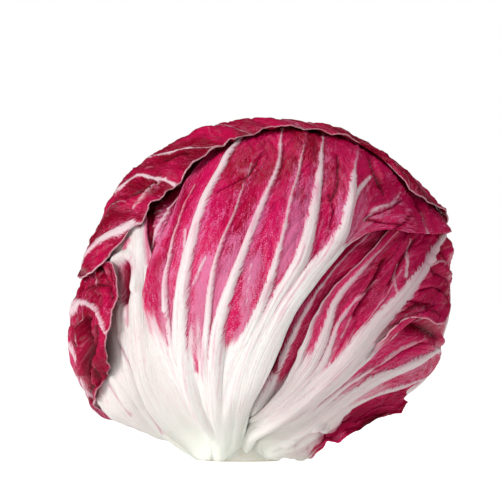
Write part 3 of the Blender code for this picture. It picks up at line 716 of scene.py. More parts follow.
    def mark_front(self, sheet: Sheet) -> None:
        """Puts the marks of the leaf's front on the sheet, some of them painted shade and painted sheen."""
        shape = sheet.radii.shape
        sheet.shade = np.zeros(shape)
        sheet.painted_sheen = np.zeros(shape)
        sheet.lift_mm = np.zeros(shape)
        facing = ease((FACING_Y - sheet.directions[..., 1]) / FACING_OVER)
        for mark in self.marks:
            inside, half = mark.inside(sheet.spots, facing > 0, self.depth)
            hump = facing * np.exp(-(((half - inside) / half) ** 2))
            sheet.lift_mm += mark.rise * hump
            if mark.kind is Kind.PAINTED_SHEEN:
                sheet.painted_sheen = np.maximum(sheet.painted_sheen, hump)
            if mark.kind is Kind.DARK:
                sheet.shade = np.maximum(sheet.shade, PAINTED_SHADE_SHARE * hump)
            if mark.kind is Kind.VEIN:
                self.whiten(sheet, inside, half)
            if mark.kind in (Kind.FLECK, Kind.HOLLOW):
                sheet.inside_mm = np.minimum(sheet.inside_mm, -inside)
                sheet.base_mm = np.minimum(sheet.base_mm, -inside * FLECK_SLOPE)
            if mark.kind in (Kind.FOLD, Kind.HOLLOW) and mark.rise < 0:
                sheet.shade = np.maximum(sheet.shade, hump)

    def whiten(self, sheet: Sheet, inside: Array, half: Array | float) -> None:
        """Adds one white line: how far each point is inside it, and half its width there, in mm."""
        sheet.half_mm = np.where(inside > sheet.inside_mm, half, sheet.half_mm)
        sheet.inside_mm = np.maximum(sheet.inside_mm, inside)

    def crumpled(self, sheet: Sheet) -> Array:
        """How far the fine dents and folds of the blade lift each point, in mm."""
        white = ease(np.maximum(sheet.inside_mm + WHITE_MM, sheet.base_mm / WHITE_BASE_MM) / (2 * WHITE_MM))
        blade = (1 - WHITE_CALM * white) * ramp(sheet.along, *RELIEF_STRETCH) * sheet.room
        fan, up = sheet.fan_mm, sheet.up_mm
        slope = up - QUILT_SLOPE * sheet.rib_mm
        lift = self.pucker * layered(PUCKERS, fan, up, self.seed)
        lift -= self.crease * LONG_CREASES.creases(fan, up, self.seed, LONG_CREASE_WIDE)
        lift -= self.crease * CROSS_CREASES.creases(fan + up, fan - up, self.seed, CROSS_CREASE_WIDE)
        lift += self.quilt * layered(QUILT, slope, fan, self.seed)
        edge = sheet.edge_mm
        round_edge = np.where(sheet.side_mm < sheet.tip_mm, up, fan)
        free = self.free(sheet)
        waved = RUFFLE.plain(round_edge, edge, self.seed)
        ruffled = self.ruffle * free * waved * RUFFLE_HEIGHT * np.exp(-edge / RUFFLE_MM)
        lip = self.lip * free * (LIP_LIFT + LIP_WAVE * waved) * np.exp(-((edge / LIP_MM) ** 2))
        return lift * blade + ruffled + lip

    def free(self, sheet: Sheet) -> Array:
        """0 where the nearer side edge is grown together with its neighbour, 1 where it is free."""
        fuse = np.where(sheet.across < 0.5, self.fuse_left, self.fuse_right)
        return ramp(sheet.along, fuse, FREE_OVER)

    def wander(self, sheet: Sheet) -> None:
        """Moves the edges a little along the surface, so that they aren't drawn with a ruler."""
        free = self.free(sheet)
        away = np.where(sheet.across < 0.5, -1, 1)
        sideways = away * layered(SIDE_NICKS, sheet.up_mm, away, self.seed)
        upwards = layered(TIP_NICKS, sheet.fan_mm, 0.0, self.seed)
        across = self.nick * free * sideways * np.exp(-sheet.side_mm / NICK_MM)
        tip = self.nick * upwards * np.exp(-sheet.tip_mm / NICK_MM)
        sheet.move(sheet.spots + sheet.lean_right * across[..., None] + sheet.lean_up * tip[..., None])

    def clear(self, sheet: Sheet, below: Layers) -> None:
        """Raises the sheet where it would cut into the leaves below, softly round each such place."""
        sheet.below_mm = below.reach(sheet.directions)
        short = np.clip(sheet.below_mm + CLEAR_MM - sheet.radii, 0, None)
        short *= ramp(sheet.along, *FOOT_STRETCH)
        grown = short
        for _ in range(GROWN_CELLS):
            grown = neighbours(grown).max(0)
        sheet.radii = sheet.radii + np.maximum(short, softened(grown, SOFT_PASSES))

    def thickness(self, sheet: Sheet) -> Array:
        """The leaf's thickness in mm at each point."""
        blade = BLADE_MM + (BASE_MM - BLADE_MM) * ramp(BASE_SHARE - sheet.along, 0, BASE_SHARE)
        edge = EDGE_SHARE + (1 - EDGE_SHARE) * ease(sheet.edge_mm / EDGE_MM)
        fleshy = ease(np.maximum(sheet.inside_mm + FLESHY_MM, sheet.base_mm / FLESHY_BASE_MM))
        flutes = layered(FLUTES, sheet.fan_mm, sheet.up_mm, self.seed)
        fluted = self.flute * flutes * fleshy * ramp(sheet.along, *FLUTE_STRETCH) * sheet.room
        return np.maximum(blade * edge + sheet.crown_mm + fluted, LEAST_MM)

    def bury_edges(self, sheet: Sheet) -> Array:
        """Sinks the edges near the stem into the leaves beside them, because they grew as one there.

        Args:
            sheet: the sheet, whose radii it changes.

        Returns:
            How much each point belongs to such an edge, from 0 to 1.
        """
        buried = np.zeros(sheet.radii.shape)
        total = sheet.right_mm[-1]
        for fuse, side_mm in ((self.fuse_left, sheet.right_mm), (self.fuse_right, total - sheet.right_mm)):
            if not fuse:
                continue
            fused = 1 - ease(ramp(sheet.along, BURY_FROM * fuse, (1 - BURY_FROM) * fuse))
            buried = np.maximum(buried, fused * (1 - ease(side_mm * sheet.slant / BURY_REACH_MM)))
        target = np.maximum(sheet.below_mm - BURY_MM, sheet.radii - BURY_MOST_MM)
        sheet.radii = sheet.radii + (target - sheet.radii) * buried
        return buried

    def calm(self, sheet: Sheet) -> None:
        """Evens out the sheet's height where its ribs are squeezed together."""
        squeezed = 1 - sheet.room
        for _ in range(CALM_PASSES):
            sheet.radii = sheet.radii + (softened(sheet.radii, 1) - sheet.radii) * squeezed

    def rolled(self, spots: Array, roll: Roll) -> Array:
        """The sheet's places with one edge rolled outwards."""
        if roll.edge is Edge.TIP:
            return np.swapaxes(self.rolled(np.swapaxes(spots, 0, 1), replace(roll, edge=Edge.RIGHT)), 0, 1)
        columns, rows = spots.shape[:2]
        first = round(roll.start * (columns - 1))
        share = np.clip(1 - ((np.linspace(0, 1, rows) - roll.centre) / roll.reach) ** 2, 0, 1)
        result = spots.copy()
        for column in range(first, columns - 1):
            step = spots[column + 1] - spots[column]
            length = np.linalg.norm(step, axis=-1, keepdims=True)
            forward = step / length
            outward = spots[column] - HEAD_CENTRE_MM
            outward = unit(outward - np.sum(outward * forward, axis=-1, keepdims=True) * forward)
            turn = np.radians(roll.turn) * share * (column - first + 0.5) / (columns - 1 - first)
            bent = forward * np.cos(turn)[:, None] + outward * np.sin(turn)[:, None]
            result[column + 1] = result[column] + length * bent
        return result

    def build(self, below: Layers) -> bpy.types.Object:
        """Lays the leaf over what lies below, and makes its mesh.

        Args:
            below: the pieces laid so far.

        Returns:
            The leaf's object.
        """
        sheet = self.refined(self.coarse(below))
        self.wander(sheet)
        sheet.measure()
        self.mark(sheet)
        sheet.radii = sheet.radii + self.crumpled(sheet) + sheet.lift_mm
        self.clear(sheet, below)
        buried = self.bury_edges(sheet)
        thick = self.thickness(sheet) * (1 - BURY_THINS * buried)
        skin = np.minimum(thick, SKIN_MM)
        sheet.radii = sheet.radii + thick - skin
        self.calm(sheet)
        spots = sheet.spots
        for roll in self.rolls:
            # The valley that a rolled edge leaves is darkened with painted shade.
            if roll.edge is Edge.RIGHT:
                held = ease(1 - np.abs(sheet.along - roll.centre) / roll.reach)
                valley = np.exp(-(((sheet.across - roll.start) / VALLEY_SHARE) ** 2))
                sheet.shade = np.maximum(sheet.shade, VALLEY_PAINTED_SHADE * held * valley)
            spots = self.rolled(spots, roll)
        bottom = spots[..., 2] - skin * np.abs(sheet.directions[..., 2])
        spots[..., 2] += np.clip(LOWEST_MM - bottom, 0, None)
        return self.mesh(sheet, spots, skin)

    def mesh(self, sheet: Sheet, spots: Array, skin: Array) -> bpy.types.Object:
        """A grid moved onto the sheet, with its marks, its wall and its UV map."""
        columns, rows = skin.shape
        shape = bmesh.new()
        bmesh.ops.create_grid(shape, x_segments=columns - 1, y_segments=rows - 1, size=1)
        group = shape.verts.layers.deform.verify()
        places = []
        for vert in shape.verts:
            column = round((vert.co.x + 1) / 2 * (columns - 1))
            row = round((vert.co.y + 1) / 2 * (rows - 1))
            places.append((column, row))
            vert[group][0] = skin[column, row] / SKIN_MM
        mesh = to_mesh(shape, self.name)
        at = tuple(np.array(places).T)
        mesh.vertices.foreach_set("co", (spots[at] * MM).astype(np.float32).ravel())
        marks = np.stack((sheet.rib_mm[at], sheet.inside_mm[at], sheet.base_mm[at]), axis=-1)
        write_points(mesh, "marks", np.clip(marks, -FAR_MM, FAR_MM))
        for name in ("shade", "painted_sheen", "frayed"):
            write_points(mesh, name, getattr(sheet, name)[at])
        write_map(mesh, np.stack((sheet.fan_mm[at], sheet.up_mm[at]), axis=-1))
        piece = new_piece(self.name.removeprefix("leaf_") + "_leaf", mesh)
        piece.vertex_groups.new(name="thickness")
        wall = piece.modifiers.new("Wall", "SOLIDIFY")
        wall.thickness = SKIN_MM * MM
        wall.offset = 1
        wall.vertex_group = "thickness"
        wall.thickness_vertex_group = 0
        return piece


def to_mesh(shape: bmesh.types.BMesh, name: str) -> bpy.types.Mesh:
    """The shape as a mesh of that name, with smooth faces."""
    mesh = bpy.data.meshes.new(name)
    shape.to_mesh(mesh)
    shape.free()
    mesh.shade_smooth()
    return mesh


def write_points(mesh: bpy.types.Mesh, name: str, values: Array) -> None:
    """Writes one number, or three, for each point of a mesh."""
    kind, field = ("FLOAT_VECTOR", "vector") if values.ndim > 1 else ("FLOAT", "value")
    layer = mesh.attributes.new(name, kind, "POINT")
    layer.data.foreach_set(field, values.astype(np.float32).ravel())


def write_map(mesh: bpy.types.Mesh, places: Array) -> None:
    """Writes the UV map, in mm over the leaf, from the two coordinates of each point."""
    corners = np.zeros(len(mesh.loops), np.int32)
    mesh.loops.foreach_get("vertex_index", corners)
    layer = mesh.uv_layers.new(name="leaf")
    layer.uv.foreach_set("vector", places[corners].astype(np.float32).ravel())


def new_piece(name: str, mesh: bpy.types.Mesh) -> bpy.types.Object:
    """A new object of the head, at the origin, with that mesh."""
    piece = bpy.data.objects.new(name, mesh)
    bpy.context.scene.collection.objects.link(piece)
    return piece


# A heart-side leaf that shows in the hollow beside the front leaf.
INNER_LEFT_LEAF = Leaf(
    "leaf_inner_left", Slot.HEART, cell=1.2, crumple=0.6, tuck=5, seed=11,
    ribs=(
        side_edge(0.3, 0.1, foot(-118, 8.3), around(-7, (-112, -50), (-108, -15)), around(-4, (-104, 20),
            (-80, 58))),
        Rib(0.8, 1.6, 1.2, 0.4, 0.9, 0.2, [foot(-98, 8.3), around(-7, (-92, -50), (-86, -15)),
            around(-3.4, (-80, 20), (-58, 56))]),
        Rib(0.8, 1.8, 1.2, 0.5, 0.95, 0.25, [foot(-78, 8.3), around(-7, (-74, -50), (-66, -15)),
            around(-3, (-60, 20), (-44, 54))]),
        Rib(0.8, 1.6, 1.2, 0.4, 0.9, 0.2, [foot(-58, 8.3), around(-7, (-56, -50), (-50, -15)),
            around(-3.6, (-44, 20), (-30, 52))]),
        side_edge(0.3, 0.1, foot(-38, 8.3), around(-7, (-38, -50), (-32, -15)), around(-4, (-27, 18),
            (-14, 48))),
    ),
    marks=(
        # Painted shadow under the overhanging hem of the cap leaf.
        fold(6, 6, -0.6, (-32, 82.3), (-28.7, 86), (-24.7, 89.3), (-21.3, 92.3)),
        vein(2, 1.6, 0.2, (-18.3, 97.3), (-20.3, 94), (-21.3, 91.3)),
        vein(0.5, 0.3, 0.3, (-28.3, 85), (-26.3, 82.3), (-24.3, 78.3)),
        vein(0.5, 0.3, 0.3, (-28.7, 82.7), (-27, 79.7), (-25.7, 76.3)),
        vein(0.4, 0.3, 0.3, (-26.3, 86.3), (-24.7, 84.3), (-23.3, 81.7)),
        vein(0.5, 0.4, 0.3, (-29, 79), (-27.7, 76.7), (-26.7, 73.7)),
        painted_sheen(5, 4, 0, (-24.7, 84.3), (-26.7, 79.7), (-28, 73.7)),
        fold(1.4, 1.2, -1.2, (-29.5, 83), (-29.5, 76.3), (-29.2, 70)),
    ),
)

# The leaf that shows in the gap to the right of the front leaf.
INNER_RIGHT_LEAF = Leaf(
    "leaf_inner_right", Slot.RED, cell=1, tuck=2, seed=12, blush=0.32,
    ribs=(
        side_edge(0.3, 0.3, foot(-26, 8.1), front(-6.4, (0, 12.3), (4.7, 22), (8, 37), (14.7, 53.7)),
            front(-4.6, (25.3, 68.7), (36, 82), (43.3, 92))),
        Rib(1, 1.6, 1, 0.5, 0.8, 0.35, [foot(-16, 8.1), front(-5.6, (1.7, 12), (8.7, 23.7), (14.7, 38),
            (20.7, 50.3)), front(-4.2, (29.3, 63), (38, 72), (47.7, 82))]),
        Rib(1, 1.6, 1, 0.5, 0.8, 0.35, [foot(-6, 8.1), front(-5.8, (3, 11.3), (12.3, 22), (20, 35),
            (25.7, 45.3)), front(-4.6, (33, 55.3), (41.3, 65.3), (52, 76.3))]),
        Rib(0.6, 1.2, 1, 0.4, 0.7, 0.35, [foot(4, 8.1), front(-6.2, (4.7, 10.3), (16.7, 20.3), (26, 30.3),
            (34, 42), (42, 53.7), (50, 65.3), (58, 74.3))]),
        side_edge(0.3, 0.3, foot(14, 8.1), front(-6.6, (6.7, 9), (20.7, 18.3), (31.3, 26.3), (40.7, 37),
            (49.3, 47.7), (56.7, 58.7), (62, 67.7))),
    ),
    marks=(
        # Painted shade in the narrow gap beside the front leaf's margin.
        hollow(3.6, 2.6, -1.2, (10, 31.7), (12, 38.7), (14.7, 46.3), (18.3, 53.7), (23.3, 59)),
        dark(4, 4, 0, (23.3, 59), (29.3, 65.3), (36, 72)),
    ),
)

# The broad leaf behind the right side, from which only an edge shows in front.
BACK_RIGHT_LEAF = Leaf(
    "leaf_back_right", Slot.RED, cell=1.1, crumple=0.7, tuck=6, seed=13,
    ribs=(
        side_edge(0.4, 0.3, foot(34, 8.3), around(-6, (48, -56), (66, -28), (72, 0), (73, 25), (66, 45),
            (40, 60))),
        Rib(1.2, 2, 1.2, 0.6, 0.95, 0.35, [foot(72, 8.2), around(-1.8, (88, -50), (92, -25), (95, 0),
            (95, 25)), around(-4.5, (88, 48), (66, 66))]),
        Rib(1.2, 2, 1.2, 0.6, 0.95, 0.35, [foot(97, 7.8), around(-1.6, (108, -50), (113, -25), (116, 0),
            (118, 26)), around(-4.8, (118, 50), (112, 74))]),
        Rib(2.2, 4.5, 1.3, 0.9, 1, 0.38, [foot(122, 7.6), around(-1.8, (130, -50), (135, -25), (138, 0),
            (142, 26)), around(-5, (150, 50), (176, 72))]),
        Rib(1.2, 2, 1.2, 0.6, 0.95, 0.35, [foot(145, 7.8), around(-2.6, (152, -50), (157, -25), (160, 0),
            (166, 26)), around(-4.5, (178, 48), (206, 62))]),
        side_edge(0.4, 0.3, foot(168, 8), around(-5, (172, -50), (178, -25), (183, 0), (190, 24),
            (203, 42), (224, 54))),
    ),
)

# The loose leaf at the lower right, whose lower edge is rolled up.
LOWER_RIGHT_LEAF = Leaf(
    "leaf_lower_right", Slot.RIBBED, cell=0.75, crumple=0.6,
    rolls=(Roll(Edge.RIGHT, 0.79, 200, 0.6, 0.58),), seed=14, painted_sheen=0.6, blush=0.26, pucker=0.5,
    crease=0.5, fuse_left=0.3, fuse_right=0.2,
    ribs=(
        side_edge(0.4, 0.36, foot(10, 0.8), front(-4.6, (6.7, 9), (19.3, 18.7), (29.7, 28.3),
            (39.3, 38.7), (47.7, 47.7), (55.3, 54.3), (61.7, 57))),
        Rib(1.4, 1.8, 1, 0.7, 0.85, 0.4, [foot(15, 0.8), front(-3.4, (7, 8), (20, 16.7), (30, 25.7),
            (40.7, 35.7), (50, 42.3), (58.3, 47), (64, 51))]),
        Rib(1.4, 1.6, 0.9, 0.5, 0.8, 0.48, [foot(21, 0.8), front(-2.8, (7.3, 7), (20.7, 14.7),
            (31.3, 23.3), (42, 31), (52, 37.3), (59.7, 41.7), (64.7, 44.3))]),
        Rib(2.6, 4.6, 1.7, 1.5, 1.1, 0.56, [foot(29, 0.8), front(-2.2, (8, 6.7), (16.7, 10), (25.3, 15.3),
            (34.3, 21.3), (43, 26.7), (54, 32.3), (63.7, 37)), around(-2.6, (92, -20))]),
        Rib(1.4, 3.4, 1.6, 1.2, 1.1, 0.6, [foot(40, 0.8), front(-1.6, (9.3, 4.4), (18, 6.7)), front(-2.2,
            (26.7, 12.2), (34.3, 17.7), (42.7, 21.7), (51, 24.7), (58.3, 27)), around(-2.4, (85, -30))]),
        side_edge(1, 0.34, foot(53, 0.8), front(-0.8, (12, 2.4), (18.7, 3.2)), front(-1.6, (25.3, 8)),
            front(-2.2, (32.7, 13.7), (40.7, 17), (48.3, 20.3), (53.7, 23))),
        side_edge(0.4, 0.24, foot(69, 0.8), around(-2.6, (38, -76), (44, -70), (43, -63), (46, -55),
            (56, -49), (67, -44), (76, -40))),
    ),
    marks=(
        # Painted shadow under the lifted lip of the right leaf, over a real hollow.
        hollow(3.2, 4.4, -2.4, (49.3, 44.3), (54.3, 45.7), (59.3, 44.3), (64, 41.7)),
        dark(7, 9, 0, (50, 43), (57.3, 43.7), (64, 41)),
        fold(2.6, 2, 1.4, (21.3, 3), (33, 10), (43.7, 14), (53.3, 18.3)),
        hollow(2.4, 2.2, -2.2, (34, 12), (42.7, 15.3), (51.3, 18.7)),
        fold(1.8, 1.8, 1.8, (14.7, 8.3), (19.7, 12.7), (24.3, 13.7), (28.7, 12), (31.3, 14.3)),
        fold(1.6, 1.4, -1.6, (17.3, 7), (20.7, 10.3), (24.7, 11), (28.7, 9.3)),
        fleck(2.6, 2, 0, (23.3, 5), (27.3, 7), (33.3, 10)),
        fold(1.3, 1.2, -1.4, (36, 18), (44, 22), (53.3, 24.3)),
        fold(1.3, 1.2, 1.2, (36.7, 16), (44, 20), (52.7, 22)),
        fold(1.2, 1, -1.2, (51.3, 20.7), (54.3, 22.7), (58.3, 23.3)),
        fold(1.2, 1.2, -0.8, (59.3, 39.7), (51.3, 36.3), (43.3, 31.7)),
        vein(0.7, 0.4, 0.3, (43.3, 31.7), (50, 37), (56.7, 40.3)),
    ),
)

# The leaf to the right of the front one, with its broad rib rising to the right edge of the head.
RIGHT_LEAF = Leaf(
    "leaf_right", Slot.RIBBED, cell=0.7, wave=1, seed=15, fuse_left=0.3, fuse_right=0.42, painted_sheen=0.45,
    rim=0.1, blush=0.32, pucker=0.5, crease=0.5,
    ribs=(
        Rib(0.5, 1.8, 0.72, 0, 0, 0.5, [foot(-8, 1.2), front(-4.2, (1.3, 11), (8, 19.7), (14, 27.7),
            (18, 36.3), (21, 43), (26.7, 54.3), (32, 60.7), (37.7, 66), (43.3, 72), (48.7, 78.7),
            (53.3, 85.3))]),
        Rib(2, 2.9, 0.95, 1.2, 0.74, 0.45, [foot(-5, 1.2), front(-3.8, (2, 10.3), (10, 19), (18.3, 27.7),
            (24.3, 36.7), (27.7, 45.3), (30.3, 53.7), (35, 60.3), (40.7, 66.3), (48, 74.3), (54.3, 82))]),
        Rib(1.2, 1.6, 0.7, 0.8, 0.66, 0.4, [foot(-2, 1.2), front(-3.4, (2.7, 10), (12, 18.7), (21, 27),
            (27.3, 35.3), (30.7, 44.3), (35, 52), (41.3, 57.7), (48.7, 66.3), (55.3, 74.3),
            (59.3, 80.3))]),
        Rib(0.8, 1, 0.75, 0.5, 0.64, 0.46, [foot(2, 1.2), front(-2.8, (3.3, 9.7), (13.7, 18), (23.3, 26),
            (30.7, 33.7), (36.7, 41.7), (43, 50), (49.3, 58.7), (54.7, 68), (59.3, 75), (63.3, 79.7))]),
        Rib(3, 7, 1.5, 1.4, 1.1, 0.52, [foot(6, 1.2), front(-1.8, (4, 9.3), (15, 17.3), (25.7, 26.3),
            (34.3, 34.7), (40.7, 42), (46.3, 48.3), (51.7, 54), (56.7, 60), (60.7, 64.3)), front(-0.8,
            (65, 71.7)), front(0.6, (68, 76))]),
        side_edge(1, 0.64, foot(11, 1.2), front(-2, (5, 8.7), (16.3, 16.7), (27, 24.7), (36, 32.3),
            (43.3, 39.3), (50.7, 46)), front(-1.2, (56.7, 51.3), (62.3, 56), (66.7, 62)), around(-1.6,
            (88, 8))),
        side_edge(0.5, 0.68, foot(16, 1.2), front(-2.2, (6, 8), (17.7, 15.7), (28, 23.3), (36, 30.3)),
            front(-1, (42.3, 36.7)), front(1.4, (49, 44), (55.7, 48)), front(3, (60, 47.7), (63.8, 46),
            (66.3, 47.7))),
    ),
    marks=(
        vein(0.5, 0.3, 0.2, (32.2, 41.8), (34, 45.7), (35.7, 48.7)),
        vein(1.8, 2.2, 0.3, (67.3, 75.7), (64.7, 72.3), (62, 69), (60.7, 65)),
        fold(1.2, 1, 0.9, (49, 46.7), (55.3, 49), (59.7, 48), (63.7, 45.7), (66, 46.7)),
        fold(1.6, 1.4, -0.5, (50, 49.3), (56, 51.7), (60.7, 50.7), (64.7, 48.7)),
        vein(0.9, 0.5, 0.3, (53.7, 61.7), (54, 67.7), (54.7, 73.7)),
        vein(0.8, 0.4, 0.3, (60.3, 64.3), (63.3, 66), (67.3, 66.3)),
        vein(0.7, 0.4, 0.2, (51, 55), (50, 60.3), (51, 65.7)),
        fold(1.2, 1.6, -1.4, (54, 53.7), (59, 52.7), (63.3, 51.3)),
        fold(1.6, 1.4, 1.2, (52.7, 51), (59.3, 50.7), (64.3, 48.7)),
        fold(1.2, 1, -1.3, (60.7, 65.7), (64.7, 62), (68.3, 60)),
        fold(1.2, 1, 1.1, (62, 67.3), (66, 63.7), (69.3, 62)),
        fold(1.2, 1, -1.2, (58.7, 56.7), (63.7, 57.7), (67.7, 55)),
        fold(1.2, 1, -1, (65.3, 71.7), (67, 67), (69, 63)),
        fold(1.6, 1.6, -0.9, (46, 67), (41.3, 57.7), (36.7, 49)),
        fold(1.6, 1.4, -0.7, (56.7, 73.7), (52, 66.3), (48, 59)),
        fold(1.4, 1.2, 0.7, (44, 66.3), (39.3, 57), (35.3, 49.7)),
        # Painted shade over the right edge, and painted shadow under the front leaf's flap.
        dark(12, 11, 0, (60.7, 68.3), (66, 59.7), (64, 50.3)),
        dark(8, 7, 0, (47.3, 74.3), (54, 73.7), (62, 71.7)),
    ),
)

# The pale leaf on the left, which stands a little off the head at its lower edge.
LEFT_LEAF = Leaf(
    "leaf_left", Slot.PALE, cell=0.75, crumple=0.4, seed=16, fuse_left=0, fuse_right=0,
    ribs=(
        Rib(0.6, 2, 1.2, 0, 0, 0.8, [foot(-112, 1.6), around(0.4, (-94, -59)), front(6, (-36, 10.8)),
            front(9, (-43.6, 13), (-46.4, 19)), around(4.5, (-90, -22)), around(0, (-88, -2)), around(-2,
            (-86, 10))]),
        Rib(1.6, 2.5, 1.4, 0.6, 0.9, 0.9, [foot(-102, 1.6), around(0, (-88, -61)), front(4.5,
            (-34.7, 15.3), (-39.7, 23.7)), around(1, (-77, -16)), around(-2.4, (-76, 0), (-73, 17))]),
        Rib(1.4, 3, 1.4, 0.8, 1.1, 1, [foot(-90, 1.6), front(1, (-25.7, 11.3)), front(1.4, (-32.7, 20.3),
            (-36.7, 29.7)), front(0.2, (-39, 40.3)), front(-1.2, (-40.3, 53), (-40.7, 63), (-41, 72),
            (-42, 82))]),
        Rib(2.2, 7, 1.7, 1.5, 1.1, 1.2, [foot(-77, 1.1), front(-1.6, (-18.7, 9), (-26.3, 18),
            (-31.3, 28.3), (-33.3, 40.3), (-34, 53.7), (-34.3, 65.3), (-34.3, 76)), front(-2.4, (-36, 86),
            (-36.5, 92))]),
        Rib(0.8, 2, 1, 0, 0, 0.66, [foot(-52, 0.8), front(-3.6, (-9, 9), (-15, 20.3), (-20, 33.7),
            (-24, 48.7), (-26.5, 62), (-29.5, 71), (-29.7, 79), (-31, 87), (-33, 94))]),
    ),
    marks=(
        hollow(6.6, 3.6, -3.6, (-38, 63.7), (-38.3, 59.3), (-38.8, 53.7)),
        hollow(1.6, 1, -0.8, (-38, 54.3), (-37.3, 50.3), (-37, 45.7)),
        fold(1.8, 1.8, 1.6, (-42, 63.7), (-40.7, 67.7), (-38, 68.7), (-35.7, 67), (-34.7, 63),
            (-34.5, 57.7)),
        fold(0.9, 0.8, -0.6, (-40.7, 41.7), (-37, 34.3), (-33.3, 25.3), (-31, 19), (-25.3, 11)),
        fold(1.8, 1.8, 0.8, (-39, 42.3), (-35, 34.3), (-31.7, 25.3), (-29, 19)),
        fold(0.9, 0.8, -0.4, (-43.3, 25.7), (-40, 21), (-36, 16.7)),
        fleck(2.4, 2, 0, (-30.5, 83.7), (-30.8, 76.3), (-30.5, 70.3), (-30, 66)),
        fold(1, 0.8, -1, (-29.5, 82.3), (-29.5, 70)),
        hollow(2.2, 1.6, -0.8, (-32, 85), (-32.8, 82), (-33.5, 78.3)),
        fleck(1.6, 1.2, 0, (-37, 73.3), (-38.3, 70.7)),
    ),
)

